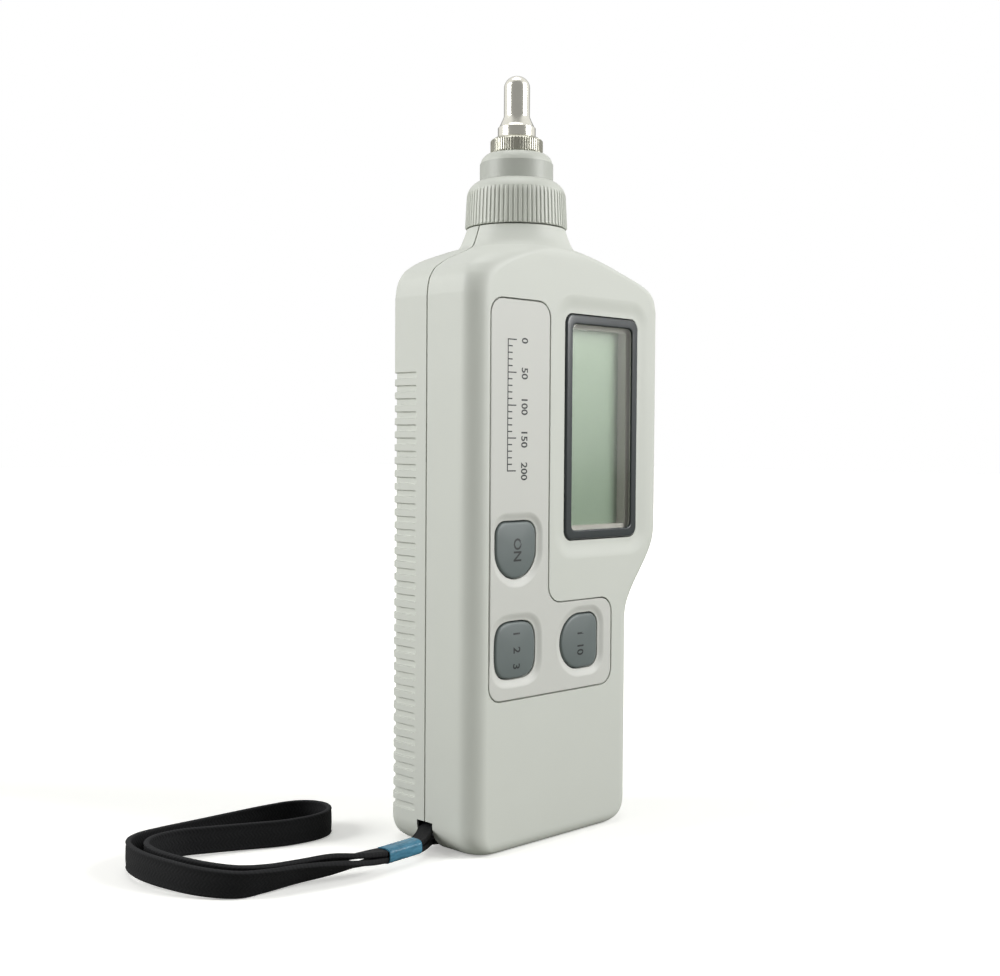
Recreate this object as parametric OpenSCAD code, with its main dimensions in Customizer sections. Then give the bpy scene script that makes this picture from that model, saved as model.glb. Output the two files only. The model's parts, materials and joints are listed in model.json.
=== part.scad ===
// Handheld vibration meter, standing on its base, display towards -Y, measuring tip up.
// Lengths are in millimetres.

/* [Casing] */
// Width of the casing across the display
body_w = 67; // [65:0.5:70]
// Depth of the casing from front to back
body_d = 30; // [30:0.5:34]
// Width of the grip below the display
grip_w = 55.8; // [55:0.2:57]
// Height of the seat of the ribbed collar
body_h = 146; // [146:0.5:152]
// Wall thickness of both shells
wall = 2.2; // [2:0.1:2.4]
// Radius of the four upright edges
edge_r = 5; // [4:0.5:6]
// Radius of the left and right edges of the base
base_side_r = 6; // [4:0.5:7]
// Radius of the front and back edges of the base
base_face_r = 2.8; // [2:0.1:3.4]
// Height where the grip starts to widen
step_low = 51; // [48:0.5:54]
// Height where the casing reaches its full width
step_high = 73.5; // [70:0.5:76]
// Height of the shoulders, up to the foot of the neck
shoulder_h = 12.9; // [12:0.1:14]
// Height of the neck below the seat of the collar
neck_h = 5.1; // [4.8:0.1:5.6]
// Radius of the neck at its foot
neck_foot_r = 13.9; // [13.5:0.1:14.4]
// Radius of the neck under the collar
neck_r = 11.8; // [11.6:0.1:12.2]
// Distance of the neck's axis to the left of the casing's middle
neck_off = 5.2; // [4.6:0.1:5.6]
// Distance of the parting plane behind the casing's middle
split_off = 0.65; // [0.4:0.05:0.9]
// Width of the parting groove between the shells
split_gap = 0.4; // [0.3:0.05:0.6]

/* [Grip ribs] */
// Number of grip grooves on the left side
rib_count = 34; // [20:1:34]
// Height of the lowest groove
rib_first = 9.1; // [8.5:0.1:10]
// Distance from one groove to the next
rib_pitch = 3.06; // [2.9:0.02:3.1]
// Height of one groove
rib_gap = 1.4; // [1.2:0.1:1.6]
// Depth of one groove
rib_deep = 0.5; // [0.3:0.1:0.7]
// Distance of the grooves' front ends behind the parting plane
rib_back = 3.4; // [3:0.1:4]
// Least distance of a groove below the foot of the shoulders
rib_top_in = 16; // [12:1:24]

/* [Keys and panel] */
// Distance of the key panel from the casing's left side
panel_in = 5; // [4.8:0.1:5.5]
// Bottom edge of the key panel
panel_z = 35.2; // [34.8:0.1:35.6]
// Distance of the key panel's top edge below the foot of the shoulders
panel_top_in = 0.4; // [0:0.1:1]
// Width of the key panel beside the display
panel_arm = 20; // [19.6:0.1:20.2]
// Width of the key panel below the display
panel_w = 42.75; // [42:0.25:43]
// Height of the wide foot of the key panel
panel_foot = 21.8; // [21.4:0.1:22.2]
// Corner radius of the key panel
panel_r = 4; // [3:0.5:4.5]
// Thickness of the key panel
panel_t = 1.2; // [1:0.1:1.3]
// Gap round the key panel
panel_gap = 0.35; // [0.25:0.05:0.45]
// Width and height of a key
key_w = 13; // [12.4:0.1:13.2]
// Gap round a key
key_gap = 0.3; // [0.2:0.05:0.4]
// Travel of a key
key_travel = 0.5; // [0.3:0.05:0.6]
// Distance from the panel's left edge to the left keys' middle
key_in = 9.2; // [9:0.1:9.4]
// Distance between the two lower keys
key_step = 22; // [21.6:0.1:22.2]
// Height of the lower keys' middle above the panel's bottom edge
key_up = 11.6; // [11.4:0.1:11.8]
// Distance from the mode key up to the measure key
key_rise = 23.1; // [22.6:0.1:23.6]
// Radius of the dish round a key
dish_r = 8.6; // [8:0.1:9]
// Depth of the dish round a key
dish_deep = 0.9; // [0.6:0.1:1]

/* [Display] */
// Distance from the key panel's arm to the bezel
bezel_arm_gap = 5.6; // [5.2:0.1:6]
// Distance of the bezel from the casing's right side
bezel_in = 10; // [9.6:0.1:10.4]
// Height of the bezel's lower edge
lcd_z = 70.9; // [70.6:0.1:71.4]
// Distance of the bezel's top edge below the foot of the shoulders
bezel_top_in = 2.2; // [1.8:0.1:3]
// Width of the bezel's upright frame bars
bezel_side = 2.2; // [2:0.1:2.4]
// Width of the bezel's top and bottom bars
bezel_end = 2.7; // [2.4:0.1:3]
// Corner radius of the bezel
bezel_r = 2.4; // [2:0.1:2.8]
// Depth of the lens behind the bezel's face
lens_drop = 1.2; // [0.9:0.1:1.3]
// Thickness of the lens
lens_t = 1.2; // [1:0.1:1.3]
// Thickness of the display glass
glass_t = 1.8; // [1.6:0.1:2]
// Distance from the casing's face to the board
board_deep = 7.5; // [7.3:0.1:8]

/* [Battery] */
// Width of the battery
battery_w = 26.5; // [25.5:0.5:26.5]
// Height of the battery's body
battery_h = 46.4; // [45.4:0.2:46.4]
// Thickness of the foam pad on the cover
pad_t = 0.6; // [0.4:0.1:0.8]
// Way that the cover slides before it comes off
cover_slide = 56; // [40:1:56]

/* [Neck and sensor] */
// Radius of the ribbed collar at its foot
collar_r = 12.4; // [12.3:0.1:12.8]
// Height of the ribbed collar
collar_h = 11.6; // [11.4:0.1:11.8]
// Number of grooves round the collar
collar_ribs = 70; // [48:2:72]
// Depth of the collar's grooves
collar_deep = 0.5; // [0.3:0.05:0.6]
// Radius of the threaded spigot inside the collar
spigot_r = 10.4; // [10.2:0.1:10.6]
// Height of the threaded spigot
spigot_h = 7; // [6.8:0.1:7.4]
// Radius of the sensor sleeve
sleeve_r = 8.9; // [8.8:0.05:9]
// Height of the sleeve's top above the collar's top
sleeve_h = 6.4; // [6.2:0.1:6.8]
// Radius of the bore that holds the sensor
sensor_bore = 7; // [6.8:0.1:7.1]
// Rise of the collar and of its slip washer in one turn
collar_pitch = 1; // [0.8:0.1:1.2]

/* [Probe] */
// Radius of the knurled ring
ring_r = 6.35; // [6.2:0.05:6.6]
// Height of the knurled ring
ring_h = 3.9; // [3.8:0.1:4.2]
// Number of knurls round the ring
ring_knurls = 60; // [40:2:64]
// Radius of the tip's foot above the ring
foot_r = 4.6; // [4.5:0.05:4.7]
// Height of the tip's foot above the ring
foot_h = 2.5; // [2.2:0.1:3]
// Height of the tip's cone
cone_h = 2.6; // [2.2:0.1:3]
// Radius of the measuring tip
tip_r = 3.15; // [2.9:0.05:3.3]
// Height of the measuring tip above its cone
tip_h = 9.8; // [8:0.2:11]
// Radius of the sensor's threaded stud
stud_r = 3.4; // [3.2:0.1:3.5]

/* [Wrist strap] */
// Width of the strap notch in the left base edge
notch_w = 5.3; // [5:0.1:5.6]
// Height of the strap notch
notch_h = 6.6; // [6.4:0.1:7]
// Depth of the strap notch
notch_deep = 5.6; // [5.4:0.1:5.8]
// Radius of the bar in the notch
bar_r = 0.9; // [0.8:0.05:1.1]
// Width of the braid
strap_w = 6.2; // [5.8:0.1:6.4]
// Thickness of the braid
strap_t = 1.3; // [1.1:0.1:1.5]

/* [Hidden] */

// Common fits: overrun of every cut, running fit, loose fit, and smoothness of round parts
over = 1;
run_fit = 0.05;
loose = 0.15;
$fn = 48;

// Places of the casing's faces
left_x = -body_w / 2;
right_x = body_w / 2;
grip_x = left_x + grip_w;
grip_mid = (left_x + grip_x) / 2;
face_y = -body_d / 2;
back_y = body_d / 2;
skin_y = face_y + wall;
back_in = back_y - wall;
neck_x = -neck_off;
split_y = split_off;
neck_foot_z = body_h - neck_h;
shoulder_z = neck_foot_z - shoulder_h;

// Depth stack from the face: board, tray floor, then the battery up to its pad
tray_t = 1;
board_t = 1.4;
board_y = face_y + board_deep;
board_back = board_y + board_t;
tray_y = board_back + loose + tray_t;
battery_y = tray_y + loose;
pad_y = back_in - pad_t;
battery_t = pad_y - battery_y;

// Casing outline from the foot of the shoulders (0) to the foot of the neck (1): how high,
// how far the left and the right side still stand out, how deep the section is, and how
// far its corners are rounded along X and along Y
shoulder_high_shares = [0, 0.2, 0.33, 0.43, 0.53, 0.62, 0.68, 0.78, 0.87, 0.95, 1];
shoulder_left_shares = [1, 0.98, 0.95, 0.9, 0.83, 0.71, 0.62, 0.43, 0.23, 0.08, 0];
shoulder_right_shares = [1, 0.98, 0.94, 0.87, 0.75, 0.6, 0.5, 0.34, 0.19, 0.06, 0];
shoulder_deep_shares = [1, 1, 1, 1, 1, 1, 1, 1, 0.95, 0.7, 0.3];
shoulder_round_shares = [0, 0.05, 0.12, 0.22, 0.35, 0.46, 0.55, 0.66, 0.78, 0.9, 1];
shoulder_depth_shares = [0, 0, 0, 0, 0, 0, 0.02, 0.08, 0.25, 0.6, 1];
// The neck is nearly a circle: share of its half width that is rounded
neck_round_share = 0.97;
// Bulge of the neck halfway up, as a share of the way from foot to collar
neck_mid_share = 0.45;
neck_bulge_share = 0.52;
// The widening of the grip has this many sections, and each corner this many chords
step_parts = 7;
base_parts = 5;
corner_parts = 6;
lining_parts = 4;

function mix(a, b, t) = a + (b - a) * t;
function fall(r, z) = z < r ? r - sqrt(r * r - (r - z) * (r - z)) : 0;

// One section: height, left side, right side, half depth, corner radii along X and Y
function base_level(i) =
    let (a = 90 * i / base_parts, z = base_side_r * (1 - cos(a)), side = base_side_r * (1 - sin(a)))
    [z, left_x + side, grip_x - side, body_d / 2 - fall(base_face_r, z), edge_r, edge_r];
function step_level(i) =
    let (t = i / step_parts, swing = (1 - cos(180 * t)) / 2)
    [mix(step_low, step_high, t), left_x, mix(grip_x, right_x, swing), body_d / 2, edge_r, edge_r];
function shoulder_level(i) =
    let (
        left = neck_x - mix(neck_foot_r, neck_x - left_x, shoulder_left_shares[i]),
        right = neck_x + mix(neck_foot_r, right_x - neck_x, shoulder_right_shares[i]),
        deep = mix(neck_foot_r, body_d / 2, shoulder_deep_shares[i])
    )
    [
        mix(shoulder_z, neck_foot_z, shoulder_high_shares[i]), left, right, deep,
        mix(edge_r, neck_foot_r * neck_round_share, shoulder_round_shares[i]),
        mix(edge_r, neck_foot_r * neck_round_share, shoulder_depth_shares[i])
    ];
function neck_level(z, r) =
    [z, neck_x - r, neck_x + r, r, r * neck_round_share, r * neck_round_share];

levels = concat(
    [for (i = [0:base_parts]) base_level(i)],
    [for (i = [0:step_parts]) step_level(i)],
    [for (i = [0:len(shoulder_high_shares) - 1]) shoulder_level(i)],
    [
        neck_level(mix(neck_foot_z, body_h, neck_mid_share), mix(neck_foot_r, neck_r, neck_bulge_share)),
        neck_level(body_h, neck_r)
    ]
);

// Outline of a section as points, counterclockwise seen from above
function corner(x, y, rx, ry, start, parts) =
    [for (i = [0:parts]) let (a = start + 90 * i / parts) [x + rx * cos(a), y + ry * sin(a)]];
function outline(left, right, half, rx, ry, parts) = concat(
    corner(right - rx, half - ry, rx, ry, 0, parts),
    corner(left + rx, half - ry, rx, ry, 90, parts),
    corner(left + rx, ry - half, rx, ry, 180, parts),
    corner(right - rx, ry - half, rx, ry, 270, parts)
);

// The smallest corner radius that a drawn-in section keeps
least_r = 0.6;
function lined(l, inset, z, parts) =
    let (
        rx = max(least_r, l[4] - inset),
        ry = max(least_r, l[5] - inset)
    )
    [for (p = outline(l[1] + inset, l[2] - inset, l[3] - inset, rx, ry, parts)) [p[0], p[1], z]];

// Skin over a stack of outlines with equal point counts
module skin(rings) {
    n = len(rings[0]);
    last = len(rings) - 1;
    polyhedron(
        points = [for (r = rings) for (p = r) p],
        faces = concat(
            [[for (i = [0:n - 1]) i]],
            [[for (i = [n - 1:-1:0]) last * n + i]],
            [
                for (k = [0:last - 1]) for (i = [0:n - 1]) for (up = [0, 1])
                    let (a = k * n + i, b = k * n + (i + 1) % n)
                    up == 0 ? [a, a + n, b] : [b, a + n, b + n]
            ]
        )
    );
}

// The casing's outer form
module casing_form() {
    skin([for (l = levels) lined(l, 0, l[0], corner_parts)]);
}

// The room inside the casing, and the same form with a thinner wall for the lip of the seam.
// Its ceiling ends below the neck
room_top_share = 0.87;
function room_levels(inset) = [
    for (l = levels)
        if (l[0] <= mix(shoulder_z, neck_foot_z, room_top_share)) l
];
module casing_room(inset) {
    skin([
        for (l = room_levels(inset))
            let (
                t = max(0, min(1, (l[0] - shoulder_z) / (neck_foot_z - shoulder_z))),
                lift = max(0, 1 - l[0] / base_side_r)
            )
            lined(l, inset, l[0] + inset * (lift - t), lining_parts)
    ]);
}

// Bodies to keep on one side of the parting plane
module front_half(y) {
    translate([left_x - over, face_y - over, -over])
        cube([body_w + 2 * over, y - face_y + over, body_h + spigot_h + 2 * over]);
}
module back_half(y) {
    translate([left_x - over, y, -over])
        cube([body_w + 2 * over, back_y - y + over, body_h + spigot_h + 2 * over]);
}

// A bar along Y from one depth to another, standing on the XZ plane of its children
module deep(from, to) {
    translate([0, to, 0]) rotate([90, 0, 0]) linear_extrude(to - from) children();
}
module rod(x, z, r, from, to) {
    translate([x, to, z]) rotate([90, 0, 0]) cylinder(h = to - from, r = r);
}
// A flat shape with round corners, from its lower left corner
module rounded(w, h, r) {
    translate([r, 0]) square([w - 2 * r, h]);
    translate([0, r]) square([w, h - 2 * r]);
    for (x = [r, w - r], y = [r, h - r]) translate([x, y]) circle(r);
}

// Case screws, from the back into the front shell
screw_r = 1.45;
screw_head_r = 2.7;
screw_head_h = 1.8;
screw_sink = 2.4;
screw_deep = 8;
boss_r = 3.2;
screw_up = 1.6;
screw_top_z = shoulder_z + screw_up;
screw_low_z = 14;
screw_left_in = 9.5;
screw_right_in = 8;
screw_grip_in = 7.8;
case_points = [
    [left_x + screw_left_in, screw_low_z], [grip_x - screw_grip_in, screw_low_z],
    [left_x + screw_left_in, screw_top_z], [right_x - screw_right_in, screw_top_z]
];

// Board outline and its screws
board_in = 1;
board_z = 33;
board_top_in = 2.4;
board_top = shoulder_z - board_top_in;
board_step_z = step_high + over / 2;
board_left = left_x + wall + board_in;
board_right = right_x - wall - board_in;
board_grip = grip_x - wall - board_in;
board_boss_r = 2.2;
board_screw_r = 1;
board_screw_head = 1.9;
board_head_h = 1.3;
board_edge_in = 3.8;
board_low_up = 3.3;
board_top_down = 4.6;
board_right_in = 2.9;
board_points = [
    [board_left + board_edge_in, board_z + board_low_up],
    [board_grip - board_edge_in, board_z + board_low_up],
    [board_left + board_edge_in, board_top - board_top_down],
    [board_right - board_right_in, board_top - board_top_down]
];

// Keys: middle of each, and its outline. The two arched keys have one straight end
panel_x = left_x + panel_in;
key_x = panel_x + key_in;
key_z = panel_z + key_up;
measure_at = [key_x, key_z + key_rise];
mode_at = [key_x, key_z];
range_at = [key_x + key_step, key_z];
key_points = [measure_at, mode_at, range_at];
key_corner = 3;
key_power = 3.4;
key_chords = 40;
module arch_key(grow) {
    r = key_w / 2;
    circle(r + grow, $fn = 64);
    translate([-r - grow, 0]) square([2 * (r + grow), r - key_corner]);
    translate([key_corner - r, 0]) square([key_w - 2 * key_corner, r + grow]);
    for (x = [key_corner - r, r - key_corner])
        translate([x, r - key_corner]) circle(key_corner + grow);
}
module soft_key(grow) {
    r = key_w / 2 + grow;
    polygon([
        for (i = [0:key_chords - 1])
            let (a = 360 * i / key_chords, c = cos(a), s = sin(a))
            [
                r * sign(c) * pow(abs(c), 2 / key_power),
                r * sign(s) * pow(abs(s), 2 / key_power)
            ]
    ]);
}
module key_outline(which, grow) {
    translate(key_points[which])
        if (which == 0) arch_key(grow);
        else if (which == 1) soft_key(grow);
        else rotate(90) arch_key(grow);
}

// Keys and switches in depth
flange_over = 0.8;
flange_t = 0.8;
flange_gap = 0.1;
key_drop = 0.05;
key_crown_r = 58;
stem_r = 1.9;
switch_w = 6;
switch_h = 2.1;
switch_floor = 0.5;
plunger_r = 1.7;
plunger_up = 0.7;
plunger_in = 0.7;
plunger_y = board_y - switch_h - plunger_up;
flange_y = skin_y + flange_gap;

// Key panel
panel_top = shoulder_z - panel_top_in;
module panel_outline(grow) {
    translate([panel_x - grow, panel_z - grow])
        rounded(panel_w + 2 * grow, panel_foot + 2 * grow, panel_r + grow);
    translate([panel_x - grow, panel_z - grow])
        rounded(panel_arm + 2 * grow, panel_top - panel_z + 2 * grow, panel_r + grow);
    inner_x = panel_x + panel_arm + grow;
    inner_z = panel_z + panel_foot + grow;
    difference() {
        translate([inner_x - panel_r, inner_z - panel_r]) square(2 * panel_r - grow);
        translate([inner_x + panel_r - grow, inner_z + panel_r - grow]) circle(panel_r - grow);
    }
}
dish_sphere_r = (dish_r * dish_r + dish_deep * dish_deep) / (2 * dish_deep);
module dishes() {
    for (p = key_points)
        translate([p[0], face_y + dish_deep - dish_sphere_r, p[1]])
            rotate([90, 0, 0]) sphere(dish_sphere_r, $fn = 128);
}

// Display
bezel_gap = 0.25;
bezel_x = panel_x + panel_arm + bezel_arm_gap;
bezel_w = right_x - bezel_in - bezel_x;
bezel_h = shoulder_z - bezel_top_in - lcd_z;
lcd_x = bezel_x + bezel_w / 2;
bezel_lip = 1.2;
bezel_lip_t = 0.9;
window_w = bezel_w - 2 * bezel_side;
window_h = bezel_h - 2 * bezel_end;
window_r = 1.4;
lens_lap = 1.2;
lens_y = face_y + lens_drop;
holder_y = lens_y + lens_t;
holder_wall = 1.2;
view_in = 1;
strip_t = 0.8;
strip_w = 1.6;
strip_in = 1.5;
glass_back = board_y - strip_t;
glass_y = glass_back - glass_t;
// A frame or plate round the window, grown or drawn in from it
module window_plate(grow, r) {
    translate([lcd_x - window_w / 2 - grow, lcd_z + bezel_end - grow])
        rounded(window_w + 2 * grow, window_h + 2 * grow, r);
}
holder_out = lens_lap - loose;
glass_out = holder_out - holder_wall;

// Battery bay
bay_side = 0.3;
bay_wall = 1.2;
bay_w = battery_w + 2 * bay_side;
bay_left = grip_mid - bay_w / 2;
terminal_h = 2.1;
snap_h = 3.4;
snap_in = 0.5;
snap_gap = 0.1;
bay_up = 2.4;
battery_z = wall;
battery_top = battery_z + battery_h;
snap_z = battery_top + snap_gap;
bay_top = snap_z + snap_h + bay_up;
terminal_step = 12.7;
terminal_small = 2.85;
terminal_big = 3.95;
lead_r = 0.6;
lead_slot_w = 7;
lead_slot_d = 5;

// Battery cover, sliding down in two grooves
cover_gap = 0.2;
cover_lift = 0.3;
cover_w = bay_w - 2 * cover_gap;
cover_top = bay_top - cover_gap;
tongue = 1;
tongue_t = 0.8;
groove_clear = 0.12;
tongue_y = back_in + (wall - tongue_t) / 2;
cover_ridge = 0.5;
cover_ridges = 6;
cover_ridge_step = 2.4;
cover_ridge_z = 12;
cover_ridge_share = 0.55;

// Neck, from the spigot up
neck_bore = 8.6;
flange_in = 0.2;
flange_r = spigot_r - flange_in;
sleeve_flange_t = 2;
washer_t = 0.6;
spigot_top = body_h + spigot_h;
flange_top = spigot_top + sleeve_flange_t;
washer_top = flange_top + washer_t;
collar_up = 0.3;
collar_z = body_h + collar_up;
collar_top = collar_z + collar_h;
collar_clear = 0.1;
collar_hole = sleeve_r + collar_clear;
collar_taper = 0.35;
collar_round_x = 4.7;
collar_round_z = 4.4;
sleeve_top = collar_top + sleeve_h;
crown_h = 2.4;
crown_z = sleeve_top - crown_h;
crown_round_x = 2.6;
crown_round_z = 3.2;
tail_r = neck_bore - loose;
tail_h = 8;
seat_t = 1.2;

// Sensor, hanging in the sleeve under the cap
sensor_r = sensor_bore - run_fit;
sensor_wall = 1.4;
sensor_h = 15.4;
sensor_top = crown_z - loose;
sensor_z = sensor_top - sensor_h;
sensor_roof = 2.8;
lid_t = 1.2;
piezo_t = 1;
piezo_r = 5;
bolt_r = 1.5;
mass_h = 5;
bolt_head_r = 2.6;
bolt_head_h = 1.5;
stud_up = 2.6;
stud_top = sleeve_top + stud_up;

// Probe: ring and tip
ring_gap = 0.1;
ring_z = sleeve_top + ring_gap;
ring_top = ring_z + ring_h;
ring_chamfer = 0.7;
ring_lip = 0.6;
tip_flange_r = 5.1;
knurl_deep = 0.3;
tip_dome_share = 0.9;

// Strap notch and bar
notch_y = split_y - notch_w / 2;
notch_wall = 2;
notch_block_x = left_x + notch_deep + notch_wall;
bar_deep = 3.2;
bar_x = left_x + bar_deep;
bar_z = 3.4;
bar_in = 1.5;

// Route of the wrist strap: x, y and z of the braid's middle, how far the braid's upper
// edge leans out in degrees, and its width as a share of the full width
strap_route = [
    [-50.4, -4.7, 2.55, -90, 0.58], [-56, -5, 2.8, -76, 0.76], [-63, -4.2, 3.1, -56, 0.95],
    [-71, -2.4, 3.2, -42, 1], [-79, -1.4, 3.2, -30, 1], [-85, 0.6, 3.2, -16, 1],
    [-90, 6.5, 3.6, -6, 1], [-93.2, 14.5, 4.1, 0, 1], [-94.3, 23.5, 4.3, 0, 1],
    [-92.4, 31.5, 4.3, 0, 1], [-87.5, 36, 4.1, 0, 1], [-80, 37.6, 3.8, 0, 1],
    [-71, 38.3, 3.5, 0, 1], [-61, 38.8, 3.3, 0, 1], [-51.5, 38.8, 3.2, 0, 1],
    [-44.3, 37.8, 3.2, 0, 1], [-40.4, 35, 3.2, 0, 1], [-39.2, 31, 3.2, 0, 1],
    [-40.8, 27, 3.2, 0, 1], [-44.3, 24.5, 3.2, 0, 1], [-49, 23.9, 3.2, 0, 1],
    [-55.5, 25, 3.2, 0, 1], [-63, 28, 3.3, 0, 1], [-71, 31, 3.5, 0, 1],
    [-78.5, 33, 3.8, 0, 1], [-85.5, 32, 4.1, 0, 1], [-90, 28, 4.3, 0, 1],
    [-91.3, 22, 4.3, 0, 1], [-90.2, 15, 4.1, 0, 1], [-87.2, 8.4, 3.7, 6, 1],
    [-83, 3.3, 3.4, 16, 1], [-77.5, 1, 3.4, 30, 1], [-70.5, 0, 3.6, 42, 1],
    [-63, -1.6, 4.2, 56, 0.95], [-56.3, -4, 4.3, 76, 0.76], [-50.4, -4.7, 4.05, 90, 0.58]
];
// Route of the braid that ties the strap to the bar: x, y and z, heading in degrees, and
// width as a share. It runs through the sleeve in a lower and an upper layer
anchor_route = [
    [-50.15, -4.68, 2.55, 4, 0.58], [-45, -4.3, 2.55, 4, 0.58], [-40.4, -4, 2.55, 14, 0.58],
    [-37, -2.3, 2.4, 29, 0.58], [-35, -0.9, 2.2, 27, 0.58], [-33.4, 0.2, 2, 18, 0.6],
    [-32, 0.55, 1.85, 6, 0.64], [-30.3, 0.65, 1.7, 0, 0.68], [-29.45, 0.65, 1.93, 0, 0.7],
    [-28.83, 0.65, 2.55, 0, 0.7], [-28.6, 0.65, 3.4, 0, 0.7], [-28.83, 0.65, 4.25, 0, 0.7],
    [-29.45, 0.65, 4.87, 0, 0.7], [-30.3, 0.65, 5.1, 0, 0.68], [-32, 0.55, 5, 6, 0.64],
    [-33.4, 0.2, 4.8, 18, 0.6], [-35, -0.9, 4.5, 27, 0.58], [-37, -2.3, 4.3, 29, 0.58],
    [-40.4, -4, 4.05, 14, 0.58], [-45, -4.3, 4.05, 4, 0.58], [-50.15, -4.68, 4.05, 4, 0.58]
];
sleeve_yaw = 4;
sleeve_length = 10;
sleeve_w = 4.4;
sleeve_t = 3.5;
sleeve_round = 0.9;
sleeve_skin = 0.3;
sleeve_end = [-50.4, -4.7, 3.3];

// Band swept along a route: unit headings, section, tube
function unit(v) = v / norm(v);
function heading(path, i) = unit(path[min(i + 1, len(path) - 1)] - path[max(i - 1, 0)]);
function plain(route) = [for (p = route) [p[0], p[1], p[2]]];
// Places round the braid's section, as shares of half its width and half its thickness
braid_wide_shares = [1, 0.8, -0.8, -1, -1, -0.8, 0.8, 1];
braid_thick_shares = [0.5, 1, 1, 0.5, -0.5, -1, -1, -0.5];
function braid_ring(at, across, along, w, t) =
    let (wide = unit(across - along * (across * along)), thick = cross(along, wide))
    [
        for (i = [0:len(braid_wide_shares) - 1])
            at + wide * w / 2 * braid_wide_shares[i] + thick * t / 2 * braid_thick_shares[i]
    ];
function round_ring(at, along, side, r, sides) =
    let (wide = unit(cross(along, side)), thick = cross(along, wide))
    [for (i = [0:sides - 1]) at + wide * r * cos(360 * i / sides) + thick * r * sin(360 * i / sides)];
module wire(path, r) {
    skin([for (i = [0:len(path) - 1]) round_ring(path[i], heading(path, i), [1, 0, 0], r, 8)]);
}

// Lead from the sensor down to the board, and the battery's two leads
lead_x = neck_x;
sensor_lead_r = 1.1;
plug_down = 9.6;
plug_w = 6;
plug_d = 3.6;
plug_h = 5;
plug_y = board_back + plug_d / 2;
plug_z = board_top - plug_down;
// Along the sensor lead: how far it has come down, and how far forward to the plug
lead_down_shares = [0.16, 0.35, 0.55, 0.75, 0.95, 1];
lead_plug_shares = [0, 0.07, 0.28, 0.56, 1, 1];
sensor_route = concat(
    [[lead_x, 0, sensor_z + lid_t / 2]],
    [
        for (i = [0:len(lead_down_shares) - 1])
            [lead_x, plug_y * lead_plug_shares[i], mix(sensor_z, plug_z + plug_h, lead_down_shares[i])]
    ]
);
// Along a battery lead: how far it has come up, and how far forward to the board
lead_rise = 7;
lead_up_shares = [0, 0.43, 0.91, 1, 1];
lead_board_shares = [0, 0.16, 0.62, 0.86, 1];

module front_shell() color("#cfd1cb") {
    lip = wall / 2;
    difference() {
        union() {
            intersection() {
                difference() {
                    casing_form();
                    casing_room(wall);
                }
                front_half(split_y - split_gap / 2);
            }
            intersection() {
                union() {
                    spigot(0);
                    notch_block();
                }
                front_half(split_y - split_gap / 2);
            }
            for (p = case_points) rod(p[0], p[1], boss_r, skin_y - over / 2, split_y - split_gap / 2);
            for (p = board_points) rod(p[0], p[1], board_boss_r, skin_y - over / 2, board_y);
        }
        intersection() {
            casing_room(lip - loose);
            back_half(split_y - split_gap / 2 - lip);
        }
        for (p = case_points) rod(p[0], p[1], screw_r + run_fit, split_y - screw_deep, split_y + over);
        for (p = board_points) rod(p[0], p[1], board_screw_r + run_fit, skin_y + over / 2, board_y + over);
        deep(face_y - over, face_y + panel_t) panel_outline(0);
        deep(face_y - over, skin_y + over) for (i = [0:2]) key_outline(i, key_gap);
        deep(face_y - over, skin_y + over) window_plate(bezel_side + bezel_gap, bezel_r + bezel_gap);
        sensor_way();
        notch_cut();
    }
}

// The threaded spigot that both shells form, and the bore for the sensor's sleeve
module spigot(grow) {
    translate([neck_x, 0, body_h - over]) cylinder(h = spigot_h + over, r = spigot_r + grow);
}
module sensor_way() {
    translate([neck_x, 0, neck_foot_z - tail_h]) cylinder(h = body_h, r = neck_bore);
}

// Solid corner round the strap notch, and the notch with the holes for its bar
module notch_block() {
    intersection() {
        casing_form();
        translate([left_x - over, notch_y - notch_wall, -over])
            cube([notch_deep + notch_wall + over, notch_w + 2 * notch_wall, notch_h + notch_wall + over]);
    }
}
module notch_cut() {
    translate([left_x - over, notch_y, -over]) cube([notch_deep + over, notch_w, notch_h + over]);
    rod(bar_x, bar_z, bar_r + run_fit, notch_y - bar_in, notch_y + notch_w + bar_in);
}

// Grip grooves: what lies outside a drawn-in casing, as seen from above
module groove_slice() {
    side_r = edge_r - rib_deep;
    difference() {
        translate([left_x - over, split_y + rib_back])
            square([edge_r + over, back_y - split_y - rib_back + over]);
        translate([left_x + edge_r, back_y - edge_r]) circle(side_r);
        translate([left_x + rib_deep, split_y]) square([body_w, back_y - edge_r - split_y]);
        translate([left_x + edge_r, split_y]) square([body_w, back_y - rib_deep - split_y]);
    }
}
rib_heights = [
    for (i = [0:rib_count - 1])
        let (z = rib_first + rib_pitch * i)
        if (z < shoulder_z - rib_top_in) z
];
module grooves_left() {
    for (z = rib_heights) translate([0, 0, z - rib_gap / 2]) linear_extrude(rib_gap) groove_slice();
}
// The grooves on the right stop where the side sweeps out from the grip
module grooves_right() {
    for (z = rib_heights) {
        side = z + rib_gap < step_low ? grip_x : z - rib_gap > step_high ? right_x : 0;
        if (side > 0)
            translate([side - right_x, 0, z - rib_gap / 2]) linear_extrude(rib_gap)
                mirror([1, 0]) groove_slice();
    }
}

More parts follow.
